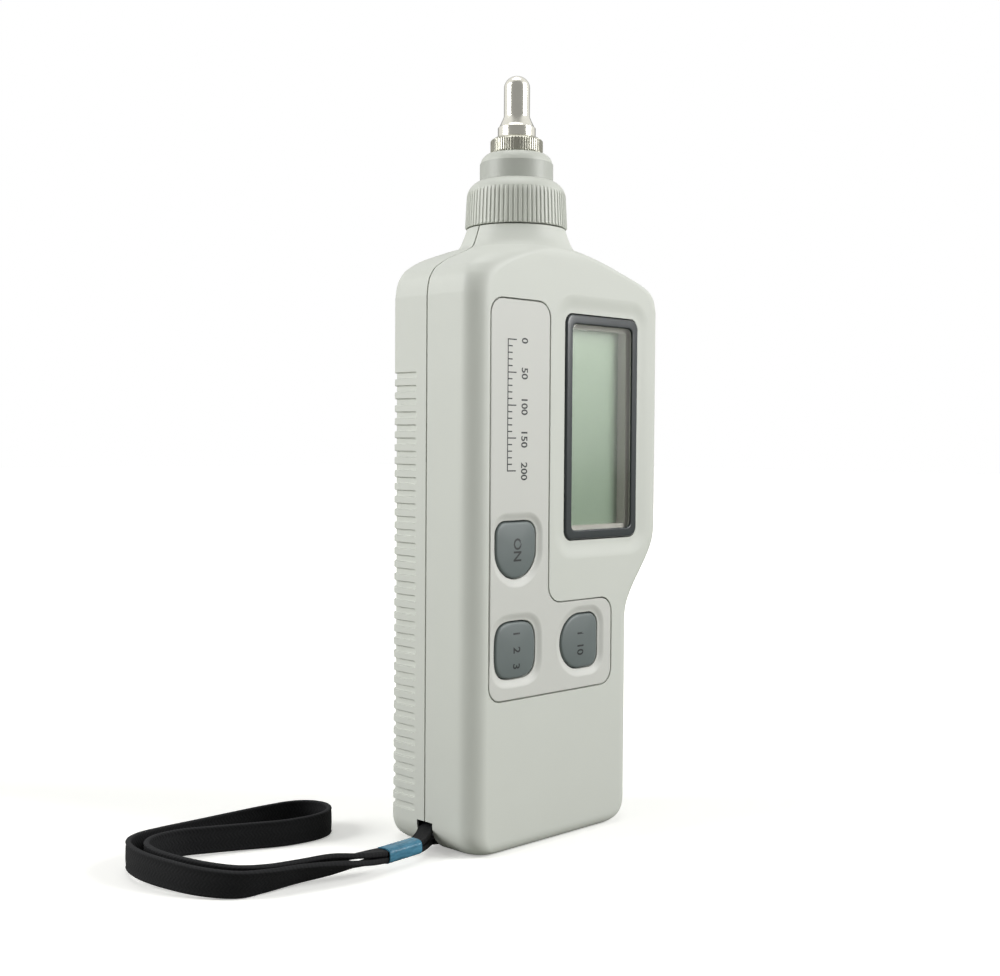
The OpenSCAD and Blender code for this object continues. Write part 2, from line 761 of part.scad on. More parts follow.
module rear_shell() color("#c9ccc6") {
    lip = wall / 2;
    seam = split_y + split_gap / 2;
    difference() {
        union() {
            intersection() {
                difference() {
                    casing_form();
                    casing_room(wall);
                }
                back_half(seam);
            }
            intersection() {
                difference() {
                    casing_room(lip);
                    casing_room(wall);
                }
                back_half(split_y - split_gap / 2 - lip);
                front_half(seam + over);
            }
            intersection() {
                union() {
                    spigot(0);
                    notch_block();
                }
                back_half(seam);
            }
            for (p = case_points) rod(p[0], p[1], boss_r, split_y - split_gap / 2, back_in + over / 2);
            bay();
        }
        for (p = case_points) {
            rod(p[0], p[1], screw_r + loose, split_y - over, back_y + over);
            rod(p[0], p[1], screw_head_r + loose, back_y - screw_sink, back_y + over);
        }
        bay_hollow();
        cover_way();
        sensor_way();
        notch_cut();
        grooves_left();
        grooves_right();
    }
}

// Battery bay: a tray open to the back
module bay() {
    front = tray_y - tray_t;
    out_w = bay_w + 2 * bay_wall;
    translate([bay_left - bay_wall, front, wall + loose])
        cube([out_w, back_in + over / 2 - front, bay_top + bay_wall - wall - loose]);
    translate([bay_left - bay_wall, split_y + split_gap, wall - over / 2])
        cube([out_w, back_in - split_y - split_gap, wall]);
}
module bay_hollow() {
    translate([bay_left, tray_y, battery_z]) cube([bay_w, back_in - tray_y, bay_top - battery_z]);
    translate([grip_mid - lead_slot_w / 2, tray_y, bay_top - over])
        cube([lead_slot_w, lead_slot_d, bay_wall + 2 * over]);
}
// The cover's opening reaches through the base, with a groove on each side
module cover_way() {
    translate([bay_left, pad_y - loose, -over])
        cube([bay_w, pad_t + wall + loose + over, bay_top + over]);
    translate([bay_left - tongue - groove_clear, tongue_y - groove_clear, -over])
        cube([bay_w + 2 * (tongue + groove_clear), tongue_t + 2 * groove_clear, bay_top + over]);
}

module battery_cover() color("#c4c7c1") {
    difference() {
        union() {
            translate([grip_mid - cover_w / 2, 0, 0]) rotate([90, 0, 90]) linear_extrude(cover_w) {
                translate([back_in, cover_lift + base_face_r]) square([wall, cover_top - cover_lift - base_face_r]);
                intersection() {
                    translate([back_y - base_face_r, base_face_r + cover_lift]) circle(base_face_r);
                    translate([back_in, cover_lift]) square([wall, base_face_r]);
                }
                translate([back_in, cover_lift]) square([wall - base_face_r + over, base_face_r]);
            }
            translate([grip_mid - cover_w / 2 - tongue, tongue_y, base_face_r + cover_lift])
                cube([cover_w + 2 * tongue, tongue_t, cover_top - base_face_r - cover_lift]);
        }
        for (i = [0:cover_ridges - 1])
            translate([
                grip_mid - cover_w * cover_ridge_share / 2, back_y - cover_ridge,
                cover_ridge_z + cover_ridge_step * i
            ])
                cube([cover_w * cover_ridge_share, cover_ridge + over, cover_ridge_step / 2]);
    }
}

module battery_pad() color("#3b3d40") {
    translate([bay_left + bay_side, pad_y, battery_z + battery_h / 4])
        cube([battery_w, pad_t, battery_h / 2]);
}

module battery() color("#5f6d86") {
    corner_r = 2;
    translate([bay_left + bay_side, battery_y, battery_z])
        linear_extrude(battery_h) rounded(battery_w, battery_t, corner_r);
    mid_y = battery_y + battery_t / 2;
    translate([grip_mid - terminal_step / 2, mid_y, battery_top - over])
        cylinder(h = terminal_h + over, r = terminal_small);
    translate([grip_mid + terminal_step / 2, mid_y, battery_top - over])
        cylinder(h = terminal_h + over, r = terminal_big);
}

module battery_snap() color("#26282a") {
    mid_y = battery_y + battery_t / 2;
    difference() {
        translate([bay_left + bay_side + snap_in, battery_y + snap_in, snap_z])
            cube([battery_w - 2 * snap_in, battery_t - 2 * snap_in, snap_h]);
        translate([grip_mid - terminal_step / 2, mid_y, snap_z - over])
            cylinder(h = terminal_h + over, r = terminal_small + run_fit);
        translate([grip_mid + terminal_step / 2, mid_y, snap_z - over])
            cylinder(h = terminal_h + over, r = terminal_big + run_fit);
    }
}

module battery_leads() color("#b32420") {
    slot_y = tray_y + lead_slot_d / 2;
    for (side = [-1, 1]) {
        x = grip_mid + side * lead_slot_w / 4;
        wire(concat(
            [[x, slot_y, snap_z + snap_h]],
            [
                for (i = [0:len(lead_up_shares) - 1])
                    [
                        x, mix(slot_y, board_back, lead_board_shares[i]),
                        bay_top + bay_wall + lead_rise * lead_up_shares[i]
                    ]
            ]
        ), lead_r);
    }
}

module key_panel() color("#c8cbc5") {
    difference() {
        deep(face_y, face_y + panel_t) panel_outline(-panel_gap);
        deep(face_y - over, face_y + panel_t + over) for (i = [0:2]) key_outline(i, key_gap);
        dishes();
    }
}

module display_bezel() color("#4a4f53") {
    difference() {
        union() {
            deep(face_y, skin_y + bezel_lip_t / 2) window_plate(bezel_side, bezel_r);
            deep(skin_y, skin_y + bezel_lip_t) window_plate(bezel_side + bezel_lip, bezel_r);
        }
        deep(face_y - over, skin_y + bezel_lip_t + over) window_plate(0, window_r);
        deep(lens_y, skin_y + bezel_lip_t + over) window_plate(lens_lap, window_r);
    }
}

module display_lens() color("#dfe8e4") {
    deep(lens_y, holder_y) window_plate(lens_lap - run_fit, window_r);
}

module lcd_holder() color("#d8dad6") {
    difference() {
        deep(holder_y, board_y) window_plate(holder_out, window_r);
        deep(holder_y - over, board_y + over) window_plate(-view_in, window_r / 2);
        deep(glass_y, board_y + over) window_plate(glass_out, window_r / 2);
    }
}

module lcd_glass() color("#b2c2b0") {
    deep(glass_y, glass_back) window_plate(glass_out - run_fit, window_r / 2);
}

module contact_strips() color("#d98a9a") {
    w = window_w + 2 * glass_out - 2 * strip_in;
    low = lcd_z + bezel_end - glass_out + strip_in;
    high = lcd_z + bezel_end + window_h + glass_out - strip_in - strip_w;
    for (z = [low, high])
        translate([lcd_x - w / 2, glass_back, z]) cube([w, strip_t, strip_w]);
}

module main_board() color("#1f6b45") {
    difference() {
        deep(board_y, board_back) {
            translate([board_left, board_z]) square([board_grip - board_left, board_top - board_z]);
            translate([board_left, board_step_z])
                square([board_right - board_left, board_top - board_step_z]);
        }
        for (p = board_points) rod(p[0], p[1], board_screw_r + loose, board_y - over, board_back + over);
    }
}

module board_screws() color("#b9bcc0") {
    for (p = board_points) {
        rod(p[0], p[1], board_screw_r, board_y - board_head_h * 2, board_back + board_head_h / 2);
        rod(p[0], p[1], board_screw_head, board_back, board_back + board_head_h);
    }
}

module case_screws() color("#b9bcc0") {
    head_y = back_y - screw_sink;
    for (p = case_points) difference() {
        union() {
            rod(p[0], p[1], screw_r, split_y - screw_deep + over, head_y + screw_head_h / 2);
            rod(p[0], p[1], screw_head_r, head_y, head_y + screw_head_h);
        }
        for (turn = [0, 90])
            translate([p[0], head_y + screw_head_h, p[1]]) rotate([0, turn, 0])
                cube([screw_r * 2, screw_head_h, screw_r / 2], center = true);
    }
}

module tact_switches() color("#2b2d30") {
    for (p = key_points) difference() {
        translate([p[0] - switch_w / 2, board_y - switch_h, p[1] - switch_w / 2])
            cube([switch_w, switch_h, switch_w]);
        rod(p[0], p[1], plunger_r + run_fit, board_y - switch_h - over, board_y - switch_floor);
    }
}

// One key: crowned cap, flange behind the shell and stem to its switch
module button(which) {
    p = key_points[which];
    intersection() {
        deep(face_y - over, flange_y + flange_t / 2) key_outline(which, 0);
        translate([p[0], face_y + key_drop + key_crown_r, p[1]]) sphere(key_crown_r, $fn = 160);
    }
    deep(flange_y, flange_y + flange_t) key_outline(which, flange_over);
    rod(p[0], p[1], stem_r, flange_y + flange_t / 2, plunger_y);
}
module plunger(which) {
    p = key_points[which];
    rod(p[0], p[1], plunger_r, plunger_y, plunger_y + plunger_up + plunger_in);
}
module measure_button() color("#7e8a8a") button(0);
module mode_button() color("#7e8a8a") button(1);
module range_button() color("#7e8a8a") button(2);
module measure_plunger() color("#8c2f2a") plunger(0);
module mode_plunger() color("#8c2f2a") plunger(1);
module range_plunger() color("#8c2f2a") plunger(2);

chip_w = 14;
chip_t = 1.8;
chip_across_share = 0.3;
chip_up = 10;
chip_at = [mix(board_left, board_right, chip_across_share), board_step_z + chip_up];
module signal_chip() color("#202224") {
    translate([chip_at[0] - chip_w / 2, board_back, chip_at[1] - chip_w / 2])
        cube([chip_w, chip_t, chip_w]);
}

can_r = 2.6;
can_tall = 7;
can_across_shares = [0.63, 0.75];
can_up = 4;
can_step = 8;
can_near_x = mix(board_left, board_right, can_across_shares[0]);
can_far_x = mix(board_left, board_right, can_across_shares[1]);
can_low_z = board_step_z + can_up;
can_points = [[can_near_x, can_low_z], [can_far_x, can_low_z], [can_far_x, can_low_z + can_step]];
trim_w = 5;
trim_shares = [0.6, 0.5];
trim_at = [
    mix(board_left, board_right, trim_shares[0]),
    mix(board_step_z, board_top, trim_shares[1])
];
module board_parts() color("#3a4d6b") {
    for (p = can_points) rod(p[0], p[1], can_r, board_back, board_back + can_tall);
    translate([trim_at[0], board_back, trim_at[1]]) cube([trim_w, trim_w, trim_w]);
    translate([lead_x - plug_w / 2, board_back, plug_z]) cube([plug_w, plug_d, plug_h]);
}

// Ribbed collar: turned body, cut by a toothed ring
module collar_body() {
    arc_parts = 8;
    top_r = collar_r - collar_taper;
    arc_end = acos(1 - (top_r - collar_hole) / collar_round_x);
    translate([neck_x, 0, 0]) rotate_extrude($fn = 96) difference() {
        polygon(concat(
            [[collar_hole, collar_z], [collar_r, collar_z], [top_r, collar_top - collar_round_z]],
            [
                for (i = [1:arc_parts])
                    let (a = arc_end * i / arc_parts)
                    [
                        top_r - collar_round_x * (1 - cos(a)),
                        collar_top - collar_round_z * (1 - sin(a))
                    ]
            ]
        ));
        translate([0, collar_z - over]) square([spigot_r + run_fit, washer_top - collar_z + over]);
    }
}
// Share of each pitch taken by the flat of a rib and by the floor of a groove
rib_flat_share = 0.42;
rib_floor_share = 0.25;
module toothed(count, out, deep) {
    step = 360 / count;
    polygon([
        for (i = [0:count - 1])
            for (
                t = [
                    [-rib_flat_share / 2, out], [rib_flat_share / 2, out],
                    [1 / 2 - rib_floor_share / 2, out - deep], [1 / 2 + rib_floor_share / 2, out - deep]
                ]
            )
                let (a = (i + t[0]) * step) [t[1] * cos(a), t[1] * sin(a)]
    ]);
}
module neck_collar() color("#cfd1cb") {
    low_r = collar_r - collar_taper;
    difference() {
        collar_body();
        translate([neck_x, 0, collar_z - over]) linear_extrude(collar_h + over) difference() {
            circle(collar_r + over, $fn = 96);
            toothed(collar_ribs, low_r + collar_deep / 2, collar_deep);
        }
    }
}
module collar_washer() color("#e8e8e2") {
    translate([neck_x, 0, flange_top]) difference() {
        cylinder(h = washer_t, r = flange_r);
        translate([0, 0, -over]) cylinder(h = washer_t + 2 * over, r = sleeve_r + run_fit);
    }
}

// Sleeve and cap round the sensor
module sensor_sleeve() color("#d3d5cf") {
    translate([neck_x, 0, 0]) rotate_extrude($fn = 96) difference() {
        union() {
            translate([0, spigot_top - tail_h]) square([tail_r, tail_h + sleeve_flange_t]);
            translate([0, spigot_top]) square([flange_r, sleeve_flange_t]);
            translate([0, spigot_top]) square([sleeve_r, crown_z - spigot_top]);
        }
        translate([0, spigot_top - tail_h - over]) square([sensor_bore, tail_h + over + crown_z]);
    }
}
function cap_edge(z) =
    let (up = max(0, z - (sleeve_top - crown_round_z)) / crown_round_z)
    sleeve_r - crown_round_x * (1 - sqrt(1 - up * up));
module sensor_cap() color("#d3d5cf") {
    parts = 8;
    translate([neck_x, 0, 0]) rotate_extrude($fn = 96) polygon(concat(
        [[stud_r + loose, crown_z]],
        [for (i = [0:parts]) let (z = crown_z + crown_h * i / parts) [cap_edge(z), z]],
        [[stud_r + loose, sleeve_top]]
    ));
}

module sensor_base() color("#b8bbbd") {
    translate([neck_x, 0, 0]) difference() {
        union() {
            translate([0, 0, sensor_z + lid_t]) cylinder(h = sensor_h - lid_t, r = sensor_r);
            translate([0, 0, sensor_top - over]) cylinder(h = stud_top - sensor_top + over, r = stud_r);
        }
        translate([0, 0, sensor_z]) cylinder(h = sensor_h - sensor_roof, r = sensor_r - sensor_wall);
        translate([0, 0, sensor_top - sensor_roof - over]) cylinder(h = sensor_roof, r = bolt_r + run_fit);
    }
}
roof_z = sensor_top - sensor_roof;
module sensor_lid() color("#b8bbbd") {
    translate([neck_x, 0, sensor_z]) difference() {
        cylinder(h = lid_t, r = sensor_r);
        translate([0, 0, -over]) cylinder(h = lid_t + 2 * over, r = sensor_lead_r + run_fit);
    }
}
module piezo_discs() color("#c9b68a") {
    for (i = [1:2]) translate([neck_x, 0, roof_z - i * piezo_t]) difference() {
        cylinder(h = piezo_t, r = piezo_r);
        translate([0, 0, -over]) cylinder(h = piezo_t + 2 * over, r = bolt_r + loose);
    }
}
mass_z = roof_z - 2 * piezo_t - mass_h;
module seismic_mass() color("#8d7b4f") {
    translate([neck_x, 0, mass_z]) difference() {
        cylinder(h = mass_h, r = piezo_r);
        translate([0, 0, -over]) cylinder(h = mass_h + 2 * over, r = bolt_r + loose);
    }
}
module preload_bolt() color("#a6a9ac") {
    translate([neck_x, 0, mass_z - bolt_head_h]) {
        cylinder(h = bolt_head_h, r = bolt_head_r);
        cylinder(h = bolt_head_h + mass_h + 2 * piezo_t + sensor_roof / 2, r = bolt_r);
    }
}
module sensor_lead() color("#2a2c2e") wire(sensor_route, sensor_lead_r);

// Knurled ring that holds the tip's flange down on the stud
module probe_ring() color("#c3c3bb") {
    core_r = ring_r - knurl_deep - run_fit;
    translate([neck_x, 0, 0]) difference() {
        union() {
            translate([0, 0, ring_z])
                linear_extrude(ring_h - ring_chamfer) toothed(ring_knurls, ring_r, knurl_deep);
            rotate_extrude() polygon([
                [0, ring_z], [core_r, ring_z], [core_r, ring_top - ring_chamfer],
                [core_r - ring_chamfer, ring_top], [0, ring_top]
            ]);
        }
        translate([0, 0, ring_z - over]) cylinder(h = ring_h, r = stud_r + run_fit);
        translate([0, 0, stud_top - loose])
            cylinder(h = ring_top - ring_lip - stud_top + loose, r = tip_flange_r + run_fit);
        translate([0, 0, ring_top - ring_lip - over]) cylinder(h = ring_lip + 2 * over, r = foot_r + run_fit);
    }
}
module probe_tip() color("#d6d6d0") {
    parts = 8;
    foot_z = ring_top + foot_h;
    cone_z = foot_z + cone_h;
    top_z = cone_z + tip_h;
    dome = tip_r * tip_dome_share;
    flange_z = ring_top - ring_lip - run_fit;
    translate([neck_x, 0, 0]) rotate_extrude($fn = 72) polygon(concat(
        [
            [0, stud_top], [tip_flange_r, stud_top], [tip_flange_r, flange_z], [foot_r, flange_z],
            [foot_r, foot_z], [tip_r, cone_z]
        ],
        [
            for (i = [0:parts])
                let (a = 90 * i / parts)
                [tip_r * cos(a), top_z - dome * (1 - sin(a))]
        ]
    ));
}

module strap_bar() color("#9a9da0") {
    rod(bar_x, bar_z, bar_r, notch_y - bar_in, notch_y + notch_w + bar_in);
}
module strap_anchor() color("#242424") {
    path = plain(anchor_route);
    skin([
        for (i = [0:len(path) - 1])
            let (a = anchor_route[i][3])
            braid_ring(
                path[i], [-sin(a), cos(a), 0], heading(path, i), strap_w * anchor_route[i][4], strap_t
            )
    ]);
}
module strap_sleeve() color("#4f86a8") {
    translate(sleeve_end) rotate([0, 90, sleeve_yaw]) linear_extrude(sleeve_length) difference() {
        sleeve_section(0);
        sleeve_section(-sleeve_skin);
    }
}
module sleeve_section(grow) {
    t = sleeve_t + 2 * grow;
    w = sleeve_w + 2 * grow;
    translate([-t / 2, -w / 2]) rounded(t, w, sleeve_round + grow);
}
module wrist_strap() color("#242424") {
    path = plain(strap_route);
    skin([
        for (i = [0:len(path) - 1])
            let (
                along = heading(path, i),
                out = unit(cross(along, [0, 0, 1])),
                lean = strap_route[i][3],
                across = [0, 0, cos(lean)] + out * sin(lean)
            )
            braid_ring(path[i], across, along, strap_w * strap_route[i][4], strap_t)
    ]);
}

front_shell();
rear_shell();
key_panel();
display_bezel();
display_lens();
lcd_glass();
lcd_holder();
contact_strips();
main_board();
board_screws();
case_screws();
tact_switches();
measure_button();
mode_button();
range_button();
measure_plunger();
mode_plunger();
range_plunger();
signal_chip();
board_parts();
battery();
battery_snap();
battery_leads();
battery_cover();
battery_pad();
neck_collar();
collar_washer();
sensor_sleeve();
sensor_cap();
sensor_base();
sensor_lid();
piezo_discs();
seismic_mass();
preload_bolt();
sensor_lead();
probe_ring();
probe_tip();
strap_bar();
strap_anchor();
strap_sleeve();
wrist_strap();
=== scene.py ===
import json
import math
from contextlib import contextmanager
import bpy
import bmesh
from mathutils import Matrix, Vector


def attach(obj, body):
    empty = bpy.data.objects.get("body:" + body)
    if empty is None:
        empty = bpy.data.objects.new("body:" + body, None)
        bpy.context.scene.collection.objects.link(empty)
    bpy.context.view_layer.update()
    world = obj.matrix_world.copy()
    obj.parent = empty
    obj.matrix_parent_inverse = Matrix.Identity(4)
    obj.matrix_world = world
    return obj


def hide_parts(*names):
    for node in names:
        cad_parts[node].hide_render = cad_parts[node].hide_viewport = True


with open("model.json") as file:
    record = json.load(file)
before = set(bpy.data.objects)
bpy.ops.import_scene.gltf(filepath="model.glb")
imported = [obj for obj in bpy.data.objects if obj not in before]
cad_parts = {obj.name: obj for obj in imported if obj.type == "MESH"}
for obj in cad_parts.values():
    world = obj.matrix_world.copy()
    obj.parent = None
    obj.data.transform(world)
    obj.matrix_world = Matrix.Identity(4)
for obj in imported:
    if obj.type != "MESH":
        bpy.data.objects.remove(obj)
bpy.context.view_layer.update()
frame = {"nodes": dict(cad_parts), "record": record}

mm = 0.001  # every size below is written in millimetres


# Small helpers
def hexColor(code):
    channels = [int(code[i:i + 2], 16) / 255 for i in (1, 3, 5)]
    return tuple(c / 12.92 if c <= 0.04045 else ((c + 0.055) / 1.055) ** 2.4 for c in channels) + (1.0,)


def addNode(tree, kind, values=None, **settings):
    node = tree.nodes.new(kind)
    for name, value in settings.items():
        setattr(node, name, value)
    for name, value in (values or {}).items():
        if isinstance(value, bpy.types.NodeSocket):
            tree.links.new(value, node.inputs[name])
        else:
            node.inputs[name].default_value = value
    return node


def maths(tree, operation, a, b):
    return addNode(tree, "ShaderNodeMath", {0: a, 1: b}, operation=operation).outputs[0]


def inScene(name, data):
    piece = bpy.data.objects.new(name, data)
    bpy.context.scene.collection.objects.link(piece)
    return piece


def meshPiece(name, points, faces):
    mesh = bpy.data.meshes.new(name)
    mesh.from_pydata([(p[0] * mm, p[1] * mm, p[2] * mm) for p in points], [], faces)
    mesh.update()
    return inScene(name, mesh)


@contextmanager
def editing(piece):
    work = bmesh.new()
    work.from_mesh(piece.data)
    yield work
    work.to_mesh(piece.data)
    work.free()


def faceOutwards(piece):
    with editing(piece) as work:
        bmesh.ops.remove_doubles(work, verts=work.verts, dist=0.002 * mm)
        bmesh.ops.recalc_face_normals(work, faces=work.faces)
    return piece


def applyModifiers(piece):
    graph = bpy.context.evaluated_depsgraph_get()
    graph.update()
    made = bpy.data.meshes.new_from_object(piece.evaluated_get(graph))
    piece.modifiers.clear()
    old, piece.data = piece.data, made
    bpy.data.meshes.remove(old)
    return piece


def discard(*pieces):
    for piece in pieces:
        mesh = piece.data
        bpy.data.objects.remove(piece)
        if mesh.users == 0:
            bpy.data.meshes.remove(mesh)


def cut(piece, *cutters, operation="DIFFERENCE"):
    for cutter in cutters:
        boolean = piece.modifiers.new("cut", "BOOLEAN")
        boolean.object, boolean.operation, boolean.solver = cutter, operation, "EXACT"
    applyModifiers(piece)
    discard(*cutters)
    return piece


def join(name, *pieces):
    work = bmesh.new()
    for piece in pieces:
        work.from_mesh(piece.data)
    mesh = bpy.data.meshes.new(name)
    work.to_mesh(mesh)
    work.free()
    discard(*pieces)
    return inScene(name, mesh)


def flatten(piece, degrees=0.2):  # melts the flat fields that the cuts left in pieces
    with editing(piece) as work:
        bmesh.ops.remove_doubles(work, verts=work.verts, dist=0.004 * mm)
        bmesh.ops.dissolve_limit(
            work, angle_limit=math.radians(degrees), verts=work.verts, edges=work.edges)
    return piece


def soften(piece, width=0.0, steps=2, angle=35, smooth=35, leave=None):
    # Rounds the sharp edges, apart from those with an end where leave(x, y, z) holds
    if width:
        with editing(piece) as work:
            layer = work.edges.layers.float.new("bevel_weight_edge")
            for edge in work.edges:
                sharp = len(edge.link_faces) == 2 and edge.calc_face_angle() > math.radians(angle)
                left = leave and any(leave(*(v.co / mm)) for v in edge.verts)
                edge[layer] = 1.0 if sharp and not left else 0.0
        bevel = piece.modifiers.new("edges", "BEVEL")
        bevel.width, bevel.segments, bevel.limit_method = width * mm, steps, "WEIGHT"
        bevel.miter_outer = "MITER_ARC"
        applyModifiers(piece)
    piece.data.shade_smooth()
    piece.data.set_sharp_from_angle(angle=math.radians(smooth))
    weigh = piece.modifiers.new("flat fields", "WEIGHTED_NORMAL")
    weigh.keep_sharp, weigh.weight = True, 60
    return applyModifiers(piece)


def block(low, high):
    corners = [(x, y, z) for x in (low[0], high[0]) for y in (low[1], high[1]) for z in (low[2], high[2])]
    faces = [(0, 1, 3, 2), (4, 6, 7, 5), (0, 4, 5, 1), (2, 3, 7, 6), (0, 2, 6, 4), (1, 5, 7, 3)]
    return meshPiece("block", corners, faces)


def tubeFaces(rounds, count, close=False):  # faces between rings of count points, with caps on an open end
    faces = []
    for k in range(rounds if close else rounds - 1):
        a, b = k * count, (k + 1) % rounds * count
        faces += [(a + i, a + (i + 1) % count, b + (i + 1) % count, b + i) for i in range(count)]
    if not close:
        faces += [tuple(range(count - 1, -1, -1)), tuple(range((rounds - 1) * count, rounds * count))]
    return faces


def skin(name, rings, close=False):
    faces = tubeFaces(len(rings), len(rings[0]), close)
    return faceOutwards(meshPiece(name, [p for ring in rings for p in ring], faces))


def circle(radius, sides):
    turns = [2 * math.pi * i / sides for i in range(sides)]
    return [(radius * math.cos(a), radius * math.sin(a)) for a in turns]


def turned(name, profile, x, sides=96, close=False):  # a lathe round an upright axis
    return skin(name, [[(x + a, b, z) for a, b in circle(r, sides)] for r, z in profile], close)


def rodY(x, z, radius, start, end):
    return skin("rod", [[(x + a, y, z + b) for a, b in circle(radius, 32)] for y in (start, end)])


def arc(cx, cz, rx, rz, start, end, steps):
    angles = [math.radians(start + (end - start) * i / steps) for i in range(steps + 1)]
    return [(cx + rx * math.cos(a), cz + rz * math.sin(a)) for a in angles]


def cornered(left, rightSide, low, high, rx, rz, steps=8):  # a rectangle with elliptic corners
    ring = []
    for x, z, start in ((rightSide - rx, high - rz, 0), (left + rx, high - rz, 90),
                        (left + rx, low + rz, 180), (rightSide - rx, low + rz, 270)):
        ring += arc(x, z, rx, rz, start, start + 90, steps)
    return ring


def superRing(halfX, halfZ, bend, sides):  # an ellipse that a bend below 1 swells towards a rectangle
    return [(halfX * math.copysign(abs(c) ** bend, c), halfZ * math.copysign(abs(s) ** bend, s))
            for c, s in circle(1, sides)]


def mix(a, b, t):
    return a + (b - a) * t


print("helpers ready")

# Camera, at the photograph's place and angle
view = {
    "place": (-246.403, -236.828, 94.614), "azimuth": -44.9337, "tilt": 1.8848, "roll": 0.384,
    "focal": 1383.689, "imageWidth": 1000, "sensor": 36.0,
}
az, tilt, roll = (math.radians(view[k]) for k in ("azimuth", "tilt", "roll"))
back = Vector((math.sin(az) * math.cos(tilt), -math.cos(az) * math.cos(tilt), math.sin(tilt)))
right = Vector((0, 0, 1)).cross(back).normalized()
up = back.cross(right)
right, up = right * math.cos(roll) + up * math.sin(roll), up * math.cos(roll) - right * math.sin(roll)
lens = bpy.data.cameras.new("camera")
lens.sensor_fit, lens.sensor_width = "HORIZONTAL", view["sensor"]
lens.lens = view["focal"] * view["sensor"] / view["imageWidth"]
lens.clip_start, lens.clip_end = 0.01, 20.0
camera = inScene("camera", lens)
turn = Matrix((right, up, back)).transposed().to_4x4()
camera.matrix_world = Matrix.Translation(Vector(view["place"]) * mm) @ turn
bpy.context.scene.camera = camera
bpy.context.scene.view_settings.view_transform = "Standard"
print("camera set")


# Materials
def startMaterial(name):
    material = bpy.data.materials.new(name)
    material.use_nodes = True
    tree = material.node_tree
    tree.nodes.clear()
    return material, tree, addNode(tree, "ShaderNodeTexCoord").outputs["Object"]


def noise(tree, place, scale, detail=2.0, roughness=0.5):
    return addNode(tree, "ShaderNodeTexNoise", {
        "Vector": place, "Scale": scale, "Detail": detail, "Roughness": roughness}).outputs["Fac"]


def spread(tree, value, low, high, start=0.0, end=1.0, easing="LINEAR"):
    return addNode(tree, "ShaderNodeMapRange", {
        "Value": value, "From Min": start, "From Max": end, "To Min": low, "To Max": high},
        interpolation_type=easing).outputs["Result"]


def blend(tree, share, a, b):
    values = {"Factor": share, "A": a, "B": b}
    return addNode(tree, "ShaderNodeMix", values, data_type="RGBA").outputs["Result"]


def ramp(tree, share, *stops):
    node = addNode(tree, "ShaderNodeValToRGB", {"Fac": share})
    for element, (place, code) in zip(node.color_ramp.elements, stops):
        element.position, element.color = place, hexColor(code)
    return node.outputs["Color"]


def bumps(tree, height, strength, depth):
    return addNode(tree, "ShaderNodeBump", {
        "Height": height, "Strength": strength, "Distance": depth * mm}).outputs["Normal"]


def show(material, surface):
    addNode(material.node_tree, "ShaderNodeOutputMaterial", {"Surface": surface})
    return material


def showBody(material, values):
    return show(material, addNode(material.node_tree, "ShaderNodeBsdfPrincipled", values).outputs["BSDF"])


def mouldedPlastic(name, color, roughness=0.5, grit=0.35, relief=0.03):
    # Injection moulded plastic: the eroded mould gives a fine even grain and a broad soft sheen,
    # and patches about 17 mm wide are 2% paler or darker
    material, tree, place = startMaterial(name)
    grain = noise(tree, place, 1 / (grit * mm), 2.0, 0.6)
    cloud = noise(tree, place, 60.0, 3.0)
    dark, pale = [tuple(min(1, c * share) for c in hexColor(color)[:3]) + (1,) for share in (0.98, 1.02)]
    return showBody(material, {
        "Base Color": blend(tree, cloud, dark, pale), "IOR": 1.53,
        "Roughness": spread(tree, grain, roughness - 0.05, roughness + 0.05),
        "Normal": bumps(tree, grain, 0.35, relief)})


def turnedMetal(name, color, roughness):
    # Turned metal, bare or plated: hair lines 0.12 mm apart run round the axis and stretch the glints
    material, tree, place = startMaterial(name)
    stretch = addNode(tree, "ShaderNodeMapping", {"Vector": place, "Scale": (40.0, 40.0, 1 / (0.12 * mm))})
    lines = noise(tree, stretch.outputs["Vector"], 1.0, 3.0)
    smears = noise(tree, place, 350.0, 3.0)
    base = hexColor(color)
    return showBody(material, {
        "Base Color": blend(tree, smears, tuple(c * 0.94 for c in base[:3]) + (1,), base), "Metallic": 1.0,
        "Roughness": spread(tree, smears, roughness - 0.04, roughness + 0.06),
        "Normal": bumps(tree, lines, 0.3, 0.004)})


def clearWindow(name, color):
    # Acrylic window with a faint haze: its shadow is left out, so that the display behind it gets the light
    material, tree, place = startMaterial(name)
    dust = noise(tree, place, 900.0, 4.0)
    body = addNode(tree, "ShaderNodeBsdfPrincipled", {
        "Base Color": hexColor(color), "Roughness": spread(tree, dust, 0.11, 0.13), "IOR": 1.49,
        "Transmission Weight": 1.0})
    ray = addNode(tree, "ShaderNodeLightPath")
    passing = addNode(tree, "ShaderNodeBsdfTransparent", {"Color": hexColor(color)})
    straight = maths(tree, "MAXIMUM", ray.outputs["Is Shadow Ray"], ray.outputs["Is Diffuse Ray"])
    both = addNode(tree, "ShaderNodeMixShader", {
        0: straight, 1: body.outputs["BSDF"], 2: passing.outputs["BSDF"]})
    return show(material, both.outputs["Shader"])


def displayCell(name):
    # Liquid crystal cell on its reflector: grey green with a satin polariser, and painted shade that makes it
    # darker to the bottom and lighter to the top
    material, tree, place = startMaterial(name)
    height = addNode(tree, "ShaderNodeSeparateXYZ", {"Vector": place}).outputs["Z"]
    # painted shade: the colour runs from darker low in the window to lighter at its top
    rise = spread(tree, height, 0.0, 1.0, 74 * mm, 122 * mm)
    grain = noise(tree, place, 1 / (0.3 * mm), 1.0)
    return showBody(material, {
        "Base Color": blend(tree, rise, hexColor("#7e907b"), hexColor("#a0b19a")),
        "Roughness": 0.35, "Normal": bumps(tree, grain, 0.1, 0.01), "IOR": 1.5})


